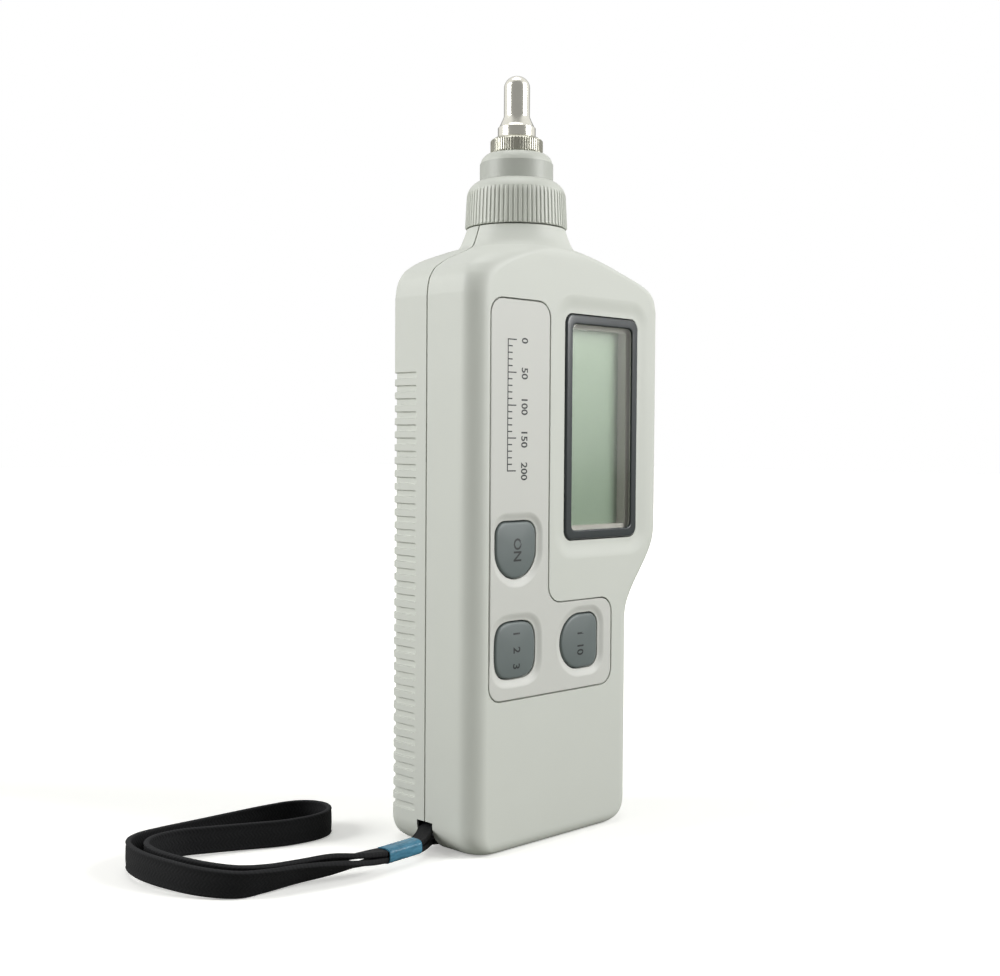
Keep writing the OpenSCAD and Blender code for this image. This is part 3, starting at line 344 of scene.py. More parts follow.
def wovenBraid(name):
    # Flat polyester braid in a fine herringbone, read from the strap's own UV map:
    # six columns of strands slant to and fro over its width, and the strands repeat every 0.9 mm
    material, tree, place = startMaterial(name)
    uv = addNode(tree, "ShaderNodeUVMap", uv_map="braid").outputs["UV"]
    parts = addNode(tree, "ShaderNodeSeparateXYZ", {"Vector": uv})
    column = maths(tree, "MULTIPLY", parts.outputs["X"], 6.0)
    zigzag = maths(tree, "PINGPONG", column, 1.0)
    slant = maths(tree, "MULTIPLY", parts.outputs["Y"], 1 / (0.9 * mm))
    strand = maths(tree, "PINGPONG", maths(tree, "ADD", slant, zigzag), 0.5)
    height = maths(tree, "ADD", strand, noise(tree, place, 1 / (0.25 * mm), 3.0))
    return showBody(material, {
        # painted shade: each strand is coloured darker down in the grooves between strands and lighter on its
        # crown
        "Base Color": ramp(tree, strand, (0.05, "#050608"), (0.45, "#101113")), "Roughness": 0.8,
        "Specular IOR Level": 0.3, "Normal": bumps(tree, height, 0.8, 0.12)})


def tintedFilm(name):
    # Thin blue shrink film over black braid: glossy and wrinkled, with pale glints painted into its colour on
    # the crests of the folds
    material, tree, place = startMaterial(name)
    stretch = addNode(tree, "ShaderNodeMapping", {"Vector": place, "Scale": (120.0, 500.0, 500.0)})
    folds = noise(tree, stretch.outputs["Vector"], 1.0, 4.0, 0.6)
    return showBody(material, {
        # painted highlights: the blue runs paler where the folds rise
        "Base Color": ramp(tree, folds, (0.3, "#1d5269"), (0.72, "#5c9dba")), "Roughness": 0.16, "IOR": 1.5,
        "Normal": bumps(tree, folds, 0.5, 0.15)})


finishes = {
    "case": mouldedPlastic("moulded light grey ABS", "#d0d3cb", 0.5),
    "panel": mouldedPlastic("moulded light grey panel", "#cecfc9", 0.48),
    "bezel": mouldedPlastic("glossy charcoal frame", "#33383a", 0.22, 0.6, 0.008),
    "lens": clearWindow("clear acrylic window", "#fbfdfb"),
    "display": displayCell("liquid crystal cell"),
    "holder": mouldedPlastic("white display holder", "#c9c3bd", 0.5),
    "strips": mouldedPlastic("pink contact strip", "#d98a9a", 0.7),
    "board": mouldedPlastic("green solder mask", "#1f6b45", 0.35),
    "screw": turnedMetal("zinc plated steel", "#b9bcc0", 0.3),
    "switch": mouldedPlastic("black switch housing", "#2b2d30", 0.5),
    "key": mouldedPlastic("grey green key", "#656e6d", 0.42, 0.3, 0.02),
    "plunger": mouldedPlastic("red switch plunger", "#8c2f2a", 0.5),
    "chip": mouldedPlastic("black chip resin", "#202224", 0.6),
    "component": mouldedPlastic("blue component sleeve", "#3a4d6b", 0.4),
    "battery": mouldedPlastic("battery jacket", "#5f6d86", 0.3),
    "snap": mouldedPlastic("black insulation", "#26282a", 0.5),
    "wire": mouldedPlastic("red insulation", "#b32420", 0.45),
    "foam": mouldedPlastic("black foam", "#3b3d40", 0.9, 0.6, 0.2),
    "collar": mouldedPlastic("moulded grey collar", "#c9ccc3", 0.42, 0.3, 0.02),
    "washer": mouldedPlastic("white nylon washer", "#e8e8e2", 0.5),
    "sensor_metal": turnedMetal("turned sensor steel", "#b8bbbd", 0.3),
    "ceramic": mouldedPlastic("fired ceramic", "#c9b68a", 0.6),
    "mass": turnedMetal("turned brass", "#8d7b4f", 0.3),
    "nickel": turnedMetal("bright nickel plate", "#e2e0d5", 0.16),
    "braid": wovenBraid("black woven braid"),
    "film": tintedFilm("blue shrink film"),
}
for part in frame["record"]["subparts"]:
    if part["node"] in frame["nodes"]:
        node = frame["nodes"][part["node"]]
        node.data.materials.clear()
        node.data.materials.append(finishes[part["material_slot"]])
print("materials ready")


def settle(piece, body, slotName, *nodes, material=None):
    piece.data.materials.clear()
    piece.data.materials.append(material or finishes[slotName])
    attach(piece, body)
    if nodes:
        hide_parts(*nodes)
    return piece


# Wrist strap: a flat braid swept along the route of the CAD
strap = {"width": 6.2, "thick": 1.3, "exit": (-50.4, -4.7, 2.55), "perSpan": 8, "tiePerSpan": 4}
strapSection = [  # upper half of the section, as shares of half its width and thickness: each edge has a bead
    (1, 0.3), (0.97, 0.75), (0.9, 0.95), (0.8, 0.8), (0.45, 0.9), (0, 0.95), (-0.45, 0.9), (-0.8, 0.8),
    (-0.9, 0.95), (-0.97, 0.75), (-1, 0.3),
]
strapRoute = [  # x, y, z, lean in degrees, share of the full width
    (-50.4, -4.7, 2.55, -90, 0.58), (-56, -5, 2.8, -76, 0.76), (-63, -4.2, 3.1, -56, 0.95),
    (-71, -2.4, 3.2, -42, 1), (-79, -1.4, 3.2, -30, 1), (-85, 0.6, 3.2, -16, 1),
    (-90, 6.5, 3.6, -6, 1), (-93.2, 14.5, 4.1, 0, 1), (-94.3, 23.5, 4.3, 0, 1),
    (-92.4, 31.5, 4.3, 0, 1), (-87.5, 36, 4.1, 0, 1), (-80, 37.6, 3.8, 0, 1),
    (-71, 38.3, 3.5, 0, 1), (-61, 38.8, 3.3, 0, 1), (-51.5, 38.8, 3.2, 0, 1),
    (-44.3, 37.8, 3.2, 0, 1), (-40.4, 35, 3.2, 0, 1), (-39.2, 31, 3.2, 0, 1),
    (-40.8, 27, 3.2, 0, 1), (-44.3, 24.5, 3.2, 0, 1), (-49, 23.9, 3.2, 0, 1),
    (-55.5, 25, 3.2, 0, 1), (-63, 28, 3.3, 0, 1), (-71, 31, 3.5, 0, 1),
    (-78.5, 33, 3.8, 0, 1), (-85.5, 32, 4.1, 0, 1), (-90, 28, 4.3, 0, 1),
    (-91.3, 22, 4.3, 0, 1), (-90.2, 15, 4.1, 0, 1), (-87.2, 8.4, 3.7, 6, 1),
    (-83, 3.3, 3.4, 16, 1), (-77.5, 1, 3.4, 30, 1), (-70.5, 0, 3.6, 42, 1),
    (-63, -1.6, 4.2, 56, 0.95), (-56.3, -4, 4.3, 76, 0.76), (-50.4, -4.7, 4.05, 90, 0.58),
]
tieRoute = [  # the tie through the notch: x, y, z, heading of its side in degrees, share of the full width
    (-50.15, -4.68, 2.55, 4, 0.58), (-45, -4.3, 2.55, 4, 0.58), (-40.4, -4, 2.55, 14, 0.58),
    (-37, -2.3, 2.4, 29, 0.58), (-35, -0.9, 2.2, 27, 0.58), (-33.4, 0.2, 2, 18, 0.6),
    (-32, 0.55, 1.85, 6, 0.64), (-30.3, 0.65, 1.7, 0, 0.68), (-29.45, 0.65, 1.93, 0, 0.7),
    (-28.83, 0.65, 2.55, 0, 0.7), (-28.6, 0.65, 3.4, 0, 0.7), (-28.83, 0.65, 4.25, 0, 0.7),
    (-29.45, 0.65, 4.87, 0, 0.7), (-30.3, 0.65, 5.1, 0, 0.68), (-32, 0.55, 5, 6, 0.64),
    (-33.4, 0.2, 4.8, 18, 0.6), (-35, -0.9, 4.5, 27, 0.58), (-37, -2.3, 4.3, 29, 0.58),
    (-40.4, -4, 4.05, 14, 0.58), (-45, -4.3, 4.05, 4, 0.58), (-50.15, -4.68, 4.05, 4, 0.58),
]
upright = Vector((0, 0, 1))


def smoothRoute(route, perSpan):  # a Catmull-Rom curve through the points of the route
    out = []
    last = len(route) - 1
    for i in range(last):
        around = [route[j] for j in (max(i - 1, 0), i, i + 1, min(i + 2, last))]
        for k in range(perSpan):
            t = k / perSpan
            out.append([
                0.5 * (2 * q + (r - p) * t + (2 * p - 5 * q + 4 * r - s) * t * t
                       + (3 * q - p - 3 * r + s) * t ** 3)
                for p, q, r, s in zip(*around)])
    return out + [list(route[last])]


def sweepBand(name, route, sideways):
    section = strapSection + [(w, -t) for w, t in reversed(strapSection)]
    points, lengths, travelled = [], [], 0.0
    for i, p in enumerate(route):
        here = Vector(p[:3])
        ahead, behind = Vector(route[min(i + 1, len(route) - 1)][:3]), Vector(route[max(i - 1, 0)][:3])
        along = (ahead - behind).normalized()
        wide = sideways(along, p)
        wide = (wide - along * along.dot(wide)).normalized()
        thick = along.cross(wide)
        travelled += (here - behind).length if i else 0
        lengths.append(travelled)
        half = strap["width"] * p[4] / 2
        points += [here + wide * half * w + thick * strap["thick"] / 2 * t for w, t in section]
    piece = meshPiece(name, points, tubeFaces(len(route), len(section)))
    layer = piece.data.uv_layers.new(name="braid")
    for loop in piece.data.loops:
        ring, place = divmod(loop.vertex_index, len(section))
        layer.data[loop.index].uv = ((section[place][0] + 1) / 2, lengths[ring] * mm)
    with editing(piece) as work:
        bmesh.ops.recalc_face_normals(work, faces=work.faces)
    piece.data.shade_smooth()
    return piece, travelled


def leaning(along, p):
    lean = math.radians(p[3])
    return upright * math.cos(lean) + along.cross(upright).normalized() * math.sin(lean)


def headed(along, p):
    heading = math.radians(p[3])
    return Vector((-math.sin(heading), math.cos(heading), 0))


strapPath = smoothRoute(strapRoute, strap["perSpan"])
strapPiece, strapLength = sweepBand("wristStrap", strapPath, leaning)
settle(strapPiece, "meter", "braid", "wrist_strap")
tiePiece = sweepBand("strapTie", smoothRoute(tieRoute, strap["tiePerSpan"]), headed)[0]
settle(tiePiece, "meter", "braid", "strap_anchor")
print("strap ready, %.0f mm long" % strapLength)

# Sleeve of blue film round the two layers
film = {"length": 10.0, "width": 4.4, "height": 3.5, "skin": 0.3, "yaw": 4.0, "end": (-50.4, -4.7, 3.3),
        "bend": 0.6, "crease": 0.06, "sides": 40, "rings": 21}


def filmRing(s, grow):
    yaw = math.radians(film["yaw"])
    along, side = Vector((math.cos(yaw), math.sin(yaw), 0)), Vector((-math.sin(yaw), math.cos(yaw), 0))
    middle = Vector(film["end"]) + along * s
    section = superRing(film["width"] / 2 + grow, film["height"] / 2 + grow, film["bend"], film["sides"])
    return [middle + side * w + upright * h for w, h in section]


filmStops = [film["length"] * i / (film["rings"] - 1) for i in range(film["rings"])]
outerFilm = [filmRing(s, -film["crease"] * math.sin(i * 1.3) ** 2) for i, s in enumerate(filmStops)]
innerFilm = [filmRing(s, -film["skin"]) for s in reversed(filmStops)]
filmPiece = soften(skin("strapSleeve", outerFilm + innerFilm, close=True), smooth=50)
settle(filmPiece, "meter", "film", "strap_sleeve")
print("sleeve ready")

# Casing form
casing = {
    "left": -33.5, "right": 33.5, "gripRight": 22.3, "half": 15.0, "wall": 2.2, "edge": 5.0,
    "baseSide": 6.0, "baseFace": 2.8, "stepLow": 51.0, "stepHigh": 73.5, "shoulder": 128.0,
    "neckFoot": 140.9, "neckFootR": 13.9, "top": 146.0, "neckR": 11.8, "neckX": -5.2, "roundness": 0.97,
    "innerTop": 0.87, "leastCorner": 0.6, "cornerSteps": 12,
    "split": 0.65, "splitGap": 0.4, "lip": 1.1, "lipPlay": 0.15, "tongue": 0.8, "bore": 8.6,
}
shoulderTable = [  # height, left, right and depth still standing out, and the corner's share along X and Y
    (0, 1, 1, 1, 0, 0), (0.2, 0.98, 0.98, 1, 0.05, 0), (0.33, 0.95, 0.94, 1, 0.12, 0),
    (0.43, 0.9, 0.87, 1, 0.22, 0), (0.53, 0.83, 0.75, 1, 0.35, 0), (0.62, 0.71, 0.6, 1, 0.46, 0),
    (0.68, 0.62, 0.5, 1, 0.55, 0.02), (0.78, 0.43, 0.34, 1, 0.66, 0.08), (0.87, 0.23, 0.19, 0.95, 0.78, 0.25),
    (0.95, 0.08, 0.06, 0.7, 0.9, 0.6), (1, 0, 0, 0.3, 1, 1),
]


# Each level of the casing holds its height, left, right, half depth and the corner's radius along X and Y
def baseLevel(t):
    a = math.radians(90 * t)
    z, side = casing["baseSide"] * (1 - math.cos(a)), casing["baseSide"] * (1 - math.sin(a))
    r = casing["baseFace"]
    drop = r - math.sqrt(r * r - (r - z) ** 2) if z < r else 0
    return (z, casing["left"] + side, casing["gripRight"] - side, casing["half"] - drop,
            casing["edge"], casing["edge"])


def stepLevel(t):
    z = mix(casing["stepLow"], casing["stepHigh"], t)
    reach = mix(casing["gripRight"], casing["right"], (1 - math.cos(math.pi * t)) / 2)
    return (z, casing["left"], reach, casing["half"], casing["edge"], casing["edge"])


def shoulderLevel(row):
    x, foot = casing["neckX"], casing["neckFootR"]
    corner = foot * casing["roundness"]
    return (mix(casing["shoulder"], casing["neckFoot"], row[0]), x - mix(foot, x - casing["left"], row[1]),
            x + mix(foot, casing["right"] - x, row[2]), mix(foot, casing["half"], row[3]),
            mix(casing["edge"], corner, row[4]), mix(casing["edge"], corner, row[5]))


def neckLevel(z, r):
    corner = r * casing["roundness"]
    return (z, casing["neckX"] - r, casing["neckX"] + r, r, corner, corner)


def smoothLevels(rows, count):  # monotone cubic through the rows, so that nothing bulges between them
    gaps = [b[0] - a[0] for a, b in zip(rows, rows[1:])]
    columns = []
    for c in range(1, len(rows[0])):
        slopes = [(b[c] - a[c]) / g for a, b, g in zip(rows, rows[1:], gaps)]
        tangents = [slopes[0]]
        for p, q in zip(slopes, slopes[1:]):
            tangents.append(0 if p * q <= 0 else 2 * p * q / (p + q))
        columns.append(tangents + [slopes[-1]])
    out = []
    for i, g in enumerate(gaps):
        for t in (k / count for k in range(count)):
            a, b = 2 * t ** 3 - 3 * t * t + 1, 3 * t * t - 2 * t ** 3
            c, d = g * (t ** 3 - 2 * t * t + t), g * (t ** 3 - t * t)
            values = [a * p + b * q + c * column[i] + d * column[i + 1]
                      for p, q, column in zip(rows[i][1:], rows[i + 1][1:], columns)]
            out.append((rows[i][0] + g * t, *values))
    return out + [tuple(rows[-1])]


neckRows = [
    neckLevel(mix(casing["neckFoot"], casing["top"], 0.45), mix(casing["neckFootR"], casing["neckR"], 0.52)),
    neckLevel(casing["top"], casing["neckR"])]
casingLevels = [baseLevel(i / 10) for i in range(11)] + [stepLevel(i / 18) for i in range(19)]
casingLevels += smoothLevels([shoulderLevel(row) for row in shoulderTable] + neckRows, 4)


def casingForm(inset=0.0, steps=5, name="casing"):
    rings = []
    for z, left, rightSide, half, rx, ry in casingLevels:
        if inset and z > mix(casing["shoulder"], casing["neckFoot"], casing["innerTop"]):
            break
        t = max(0, min(1, (z - casing["shoulder"]) / (casing["neckFoot"] - casing["shoulder"])))
        lift = max(0, 1 - z / casing["baseSide"])
        rx, ry = (max(casing["leastCorner"], r - inset) for r in (rx, ry))
        ring = cornered(left + inset, rightSide - inset, inset - half, half - inset, rx, ry, steps)
        rings.append([(x, y, z + inset * (lift - t)) for x, y in ring])
    return skin(name, rings)


def slab(front=-40, behind=40):  # everything between two depths
    return block((-45, front, -12), (45, behind, 170))


def hollowShell(name, *beyond):
    return cut(casingForm(steps=casing["cornerSteps"], name=name), *beyond, casingForm(casing["wall"]))


past = 2.0  # how far a cutter reaches past the face that it cuts
seam, lip = casing["split"], casing["lip"]
seamFront, seamBack = seam - casing["splitGap"] / 2, seam + casing["splitGap"] / 2
faceY, skinY = -casing["half"], -casing["half"] + casing["wall"]  # outside and inside of the front wall
backY = casing["half"]
neckX = casing["neckX"]
notch = {"front": -2.0, "behind": 3.3, "top": 6.6, "inner": -27.9}


def notchCutter():
    return block((-40, notch["front"], -3), (notch["inner"], notch["behind"], notch["top"]))


def boreCutter():
    return turned("bore", [(casing["bore"], 130), (casing["bore"], 150)], neckX, sides=64)


# Places on the front
keys = {"width": 13.0, "gap": 0.3, "corner": 3.0, "power": 3.4, "crown": 58.0, "round": 0.45, "drop": 0.05,
        "sides": 96, "stemR": 1.9, "stemBack": -10.3,
        "flange": 0.8, "flangeBack": -11.9, "flangeFront": -12.7}
keyPlaces = {"measure": (-19.3, 69.9), "mode": (-19.3, 46.8), "range": (2.7, 46.8)}
panel = {"left": -28.5, "low": 35.2, "top": 127.6, "arm": 20.0, "width": 42.75, "foot": 21.8, "round": 4.0,
         "thick": 1.2, "gap": 0.35, "dishOut": 2.3, "dishIn": 0.3, "dish": 0.6}
bezel = {"x": 10.3, "low": 70.9, "width": 26.4, "height": 54.9, "side": 2.2, "end": 2.7, "round": 2.4,
         "gap": 0.25, "drop": 0.05, "windowRound": 1.4, "lensDrop": 1.2, "lens": 1.2, "lap": 1.2,
         "wellOut": 4.2, "well": 0.5}
bezelZ = bezel["low"] + bezel["height"] / 2


def panelOutline(grow, steps=8):
    left, low, top = panel["left"] - grow, panel["low"] - grow, panel["top"] + grow
    armRight, footTop = panel["left"] + panel["arm"] + grow, panel["low"] + panel["foot"] + grow
    footRight = panel["left"] + panel["width"] + grow
    r, inner = panel["round"] + grow, panel["round"] - grow
    ring = arc(armRight - r, top - r, r, r, 0, 90, steps) + arc(left + r, top - r, r, r, 90, 180, steps)
    ring += arc(left + r, low + r, r, r, 180, 270, steps) + arc(footRight - r, low + r, r, r, 270, 360, steps)
    ring += arc(footRight - r, footTop - r, r, r, 0, 90, steps)
    return ring + arc(armRight + inner, footTop + inner, inner, inner, 270, 180, steps)


def archKey(grow):  # round below, straight above with small corners
    half, c = keys["width"] / 2, keys["corner"]
    ring = arc(half - c, half - c, c + grow, c + grow, 0, 90, 16)
    ring += arc(c - half, half - c, c + grow, c + grow, 90, 180, 16)
    ring += arc(0, 0, half + grow, half + grow, 180, 360, 62)
    return ring[:keys["sides"]]


def keyOutline(which, grow):
    if which == "mode":
        half = keys["width"] / 2 + grow
        return superRing(half, half, 2 / keys["power"], keys["sides"])
    ring = archKey(grow)
    return ring if which == "measure" else [(z, -x) for x, z in ring]


def plateY(name, ring, start, end):
    return skin(name, [[(x, y, z) for x, z in ring] for y in (start, end)])


def keyHole(which, start, end):
    x, z = keyPlaces[which]
    return plateY("hole", [(x + a, z + b) for a, b in keyOutline(which, keys["gap"])], start, end)


def aroundBezel(grow, r, side=0.0, end=0.0, steps=10):  # its outline, or its window's with the bars' widths
    across, rise = bezel["width"] / 2 - side + grow, bezel["height"] / 2 - end + grow
    return cornered(bezel["x"] - across, bezel["x"] + across, bezelZ - rise, bezelZ + rise, r, r, steps)


def windowRing(grow, r, steps=8):
    return aroundBezel(grow, r, bezel["side"], bezel["end"], steps)


def easedSlope(start, end, depth, steps, above):  # growth and depth of each ring of a soft slope into a face
    shares = [i / steps for i in range(steps + 1)]
    slope = [(mix(start, end, t), depth * (1 - math.cos(math.pi * t)) / 2 - above) for t in shares]
    return [(start, -past)] + slope


def softWell():  # the shallow well that the bezel sits in
    slope = easedSlope(bezel["gap"] + bezel["wellOut"], bezel["gap"], bezel["well"], 9, 0.004)
    return skin("well", [
        [(x, faceY + deep, z) for x, z in aroundBezel(grow, bezel["round"] + grow)] for grow, deep in slope])


# Front shell
frontShell = hollowShell("frontShell", slab(front=seamFront))
cut(frontShell, softWell())
rebate = cut(casingForm(lip - casing["lipPlay"]), slab(behind=seamFront - lip))
opening = windowRing(bezel["side"] + bezel["gap"], bezel["round"] + bezel["gap"])
cut(frontShell, rebate, notchCutter(), plateY("seat", panelOutline(0), faceY - past, faceY + panel["thick"]),
    plateY("opening", opening, faceY - past, skinY + past),
    *[keyHole(which, faceY - past, skinY + past) for which in keyPlaces], boreCutter())
flatten(frontShell)
soften(frontShell, 0.25, 3, 40, 40)
settle(frontShell, "meter", "case", "front_shell")
print("front shell ready, %d faces" % len(frontShell.data.polygons))

# Rear shell with its grip grooves
grip = {"count": 34, "first": 9.1, "pitch": 3.06, "height": 1.4, "deep": 0.5, "front": 4.05, "run": 0.7,
        "lowCount": 13, "highCount": 12, "highFrom": 22,
        "margin": 0.1, "side": 5.1, "lowSide": 17.4, "lowTop": 52.0}
bay = {"left": -19.15, "right": 7.95, "wall": 1.2, "front": -4.95, "low": 2.2, "top": 54.5, "pad": 12.05,
       "trayLow": 2.35, "trayBack": 13.3, "slotLeft": -9.1, "slotRight": -2.1, "slotBack": 0.05,
       "tongue": 1.12, "tongueFrom": 13.38, "tongueTo": 14.42}
screws = {"places": [(-24.0, 14.0), (14.5, 14.0), (-24.0, 129.6), (25.5, 129.6)], "sink": 2.4, "headR": 2.85}


def grooveCutter():  # comes in on the side with a rounded end, follows the rear corner, runs out on the back
    left, r = casing["left"], casing["edge"]
    cx, cy = left + r, casing["half"] - r
    stations = [(left, grip["front"] + grip["run"] * t, -1, 0, t) for t in (0, 0.17, 0.43, 0.7, 1)]
    stations += [(left, mix(grip["front"] + grip["run"], cy, t), -1, 0, 1) for t in (0.25, 0.5, 0.75)]
    for i in range(13):
        a = math.pi / 2 * i / 12
        stations.append((cx - r * math.cos(a), cy + r * math.sin(a), -math.cos(a), math.sin(a), 1))
    rings = []
    for x, y, nx, ny, t in stations:
        half = grip["height"] / 2 * math.sqrt(1 - (1 - t) ** 2) + 0.02
        deep = grip["deep"] * mix(0.35, 1, t)
        upper = [(1, half + 0.18), (0.05, half + 0.18), (-0.06, half + 0.06), (-deep * 0.4, half),
                 (-deep * 0.85, half * 0.95), (-deep, half * 0.8)]
        section = upper + [(out, -h) for out, h in reversed(upper)]
        rings.append([(x + nx * out, y + ny * out, h) for out, h in section])
    return skin("groove", rings)


def startTree(name, sockets):
    tree = bpy.data.node_groups.new(name, "GeometryNodeTree")
    for label, kind in sockets.items():
        tree.interface.new_socket(label, in_out="INPUT", socket_type="NodeSocket" + kind)
    tree.interface.new_socket("Geometry", in_out="OUTPUT", socket_type="NodeSocketGeometry")
    return tree, addNode(tree, "NodeGroupInput").outputs


def finishTree(tree, copies, material):
    real = addNode(tree, "GeometryNodeRealizeInstances", {"Geometry": copies})
    coat = addNode(tree, "GeometryNodeSetMaterial", {
        "Geometry": real.outputs["Geometry"], "Material": material})
    addNode(tree, "NodeGroupOutput", {"Geometry": coat.outputs["Geometry"]})
    return tree


def stackTree():  # copies of a shape one above the other
    tree, given = startTree("stack", {"Shape": "Object", "Count": "Int", "Pitch": "Float", "Start": "Float"})
    low, step = (addNode(tree, "ShaderNodeCombineXYZ", {"Z": given[name]}).outputs["Vector"]
                 for name in ("Start", "Pitch"))
    line = addNode(tree, "GeometryNodeMeshLine", {
        "Count": given["Count"], "Start Location": low, "Offset": step}, mode="OFFSET")
    shape = addNode(tree, "GeometryNodeObjectInfo", {"Object": given["Shape"]})
    copies = addNode(tree, "GeometryNodeInstanceOnPoints", {
        "Points": line.outputs["Mesh"], "Instance": shape.outputs["Geometry"]})
    return finishTree(tree, copies.outputs["Instances"], finishes["case"])


def ringTree():  # upright bars in a ring, each leaning inwards at its top
    tree, given = startTree("bar ring", {
        "Count": "Int", "Radius": "Float", "Bar": "Float", "Height": "Float", "Tilt": "Float",
        "Middle": "Vector"})
    points = addNode(tree, "GeometryNodeMeshCircle", {"Vertices": given["Count"], "Radius": given["Radius"]})
    bar = addNode(tree, "GeometryNodeMeshCylinder", {
        "Vertices": 10, "Radius": given["Bar"], "Depth": given["Height"]})
    index = addNode(tree, "GeometryNodeInputIndex").outputs["Index"]
    angle = maths(tree, "MULTIPLY", maths(tree, "DIVIDE", index, given["Count"]), 2 * math.pi)
    turnBy = addNode(tree, "ShaderNodeCombineXYZ", {"Y": given["Tilt"], "Z": angle}).outputs["Vector"]
    copies = addNode(tree, "GeometryNodeInstanceOnPoints", {
        "Points": points.outputs["Mesh"], "Instance": bar.outputs["Mesh"], "Rotation": turnBy})
    placed = addNode(tree, "GeometryNodeTransform", {
        "Geometry": copies.outputs["Instances"], "Translation": given["Middle"]})
    return finishTree(tree, placed.outputs["Geometry"], finishes["collar"])


def runTree(tree, values):
    piece = meshPiece("copies", [(0, 0, 0)], [])
    modifier = piece.modifiers.new("nodes", "NODES")
    modifier.node_group = tree
    for item in tree.interface.items_tree:
        if item.in_out == "INPUT":
            modifier[item.identifier] = values[item.name]
    return applyModifiers(piece)


stack, barRing = stackTree(), ringTree()


def stacked(shape, count, pitch, start):
    return runTree(stack, {"Shape": shape, "Count": count, "Pitch": pitch * mm, "Start": start * mm})


def ringed(count, radius, bar, low, high, tilt=0.0):
    return runTree(barRing, {
        "Count": count, "Radius": radius * mm, "Bar": bar * mm, "Height": (high - low) * mm, "Tilt": tilt,
        "Middle": (neckX * mm, 0, (low + high) / 2 * mm)})


def mirrored(piece, about):  # to the other side of an upright plane
    with editing(piece) as work:
        for v in work.verts:
            v.co.x = 2 * about * mm - v.co.x
        bmesh.ops.reverse_faces(work, faces=work.faces)
    return piece


def inGrooves(x, y, z):
    onSide = x < casing["left"] + grip["side"] or x > casing["right"] - grip["side"]
    return y > grip["front"] - grip["margin"] and (onSide or (x > grip["lowSide"] and z < grip["lowTop"]))


rearShell = hollowShell("rearShell", slab(behind=seamBack))
groove = grooveCutter()
leftGrooves = stacked(groove, grip["count"], grip["pitch"], grip["first"])
lowRight = stacked(groove, grip["lowCount"], grip["pitch"], grip["first"])
highFirst = grip["first"] + grip["highFrom"] * grip["pitch"]
highRight = stacked(groove, grip["highCount"], grip["pitch"], highFirst)
mirrored(lowRight, (casing["left"] + casing["gripRight"]) / 2)
mirrored(highRight, 0)
discard(groove)
cut(rearShell, leftGrooves, lowRight, highRight)
tray = block((bay["left"] - bay["wall"], bay["front"] - 1, bay["trayLow"]),
             (bay["right"] + bay["wall"], bay["trayBack"], bay["top"] + bay["wall"]))
cut(tray, block((bay["left"], bay["front"], bay["low"]), (bay["right"], 14, bay["top"])),
    block((bay["slotLeft"], bay["front"], bay["top"] - 1),
          (bay["slotRight"], bay["slotBack"], bay["top"] + 3)))
cut(rearShell, block((bay["left"], bay["pad"], -past), (bay["right"], backY + past, bay["top"])),
    block((bay["left"] - bay["tongue"], bay["tongueFrom"], -past),
          (bay["right"] + bay["tongue"], bay["tongueTo"], bay["top"])),
    *[rodY(x, z, screws["headR"], backY - screws["sink"], backY + past) for x, z in screws["places"]],
    notchCutter(), boreCutter())
flatten(rearShell)
tongueBand = cut(casingForm(lip, name="tongue"), casingForm(casing["wall"]), slab(behind=seamFront - lip),
                 slab(front=seamBack + casing["tongue"]), notchCutter())
soften(rearShell, 0.2, 2, 40, 34, leave=inGrooves)
rearShell = join("rearShell", rearShell, tray, tongueBand)
settle(rearShell, "meter", "case", "rear_shell")
print("rear shell ready, %d faces" % len(rearShell.data.polygons))

# Neck sizes, and the spigot under the collar
neck = {
    "spigotLow": 145.6, "spigotR": 10.4, "spigotTop": 153.0,
    "collarLow": 146.3, "collarR": 12.4, "collarTopR": 12.05, "arcX": 4.7, "arcZ": 4.4, "collarTop": 157.9,
    "hole": 9.0, "counterR": 10.45, "counterTop": 155.6, "grooves": 70, "grooveR": 0.34, "grooveOut": 0.17,
    "grooveFrom": 145.6, "grooveTo": 158.0, "sleeveLow": 145.0, "sleeveBore": 7.0, "sleeveInR": 8.45,
    "flangeR": 10.2, "flangeTop": 155.0, "sleeveR": 8.9, "capLow": 161.9, "capTop": 164.3, "capBore": 3.55,
    "capX": 2.6, "capZ": 3.2,
}
spigotProfile = [(neck["spigotR"], neck["spigotLow"]), (neck["spigotR"], neck["spigotTop"]),
                 (casing["bore"], neck["spigotTop"]), (casing["bore"], neck["spigotLow"])]
settle(soften(turned("neckSpigot", spigotProfile, neckX, sides=72, close=True)), "meter", "case")

# Walls of the strap notch: in front of it, behind it, at its inner end and over it
notchWall = {"left": -33.0, "right": -25.9, "front": -4.0, "behind": 5.3, "low": 0.8, "innerLow": 0.4,
             "overLeft": -32.6, "top": 8.6}
notchBlocks = []
for left, front, behind, low in (
        (notchWall["left"], notchWall["front"], notch["front"], notchWall["low"]),
        (notchWall["left"], notch["behind"], notchWall["behind"], notchWall["low"]),
        (notch["inner"], notch["front"], notch["behind"], notchWall["innerLow"]),
        (notchWall["overLeft"], notch["front"], notch["behind"], notch["top"])):
    notchBlocks.append(block((left, front, low), (notchWall["right"], behind, notchWall["top"])))
for piece in notchBlocks:
    cut(piece, casingForm(0.3), operation="INTERSECT")
settle(join("notchWalls", *notchBlocks), "meter", "case")


# Key panel with a soft dish round each key
def dishCutter(which):
    px, pz = keyPlaces[which]
    slope = easedSlope(panel["dishOut"], panel["dishIn"], panel["dish"], 12, 0.003) + [(-1, panel["dish"])]
    return skin("dish", [
        [(px + x, faceY + deep, pz + z) for x, z in keyOutline(which, grow)] for grow, deep in slope])


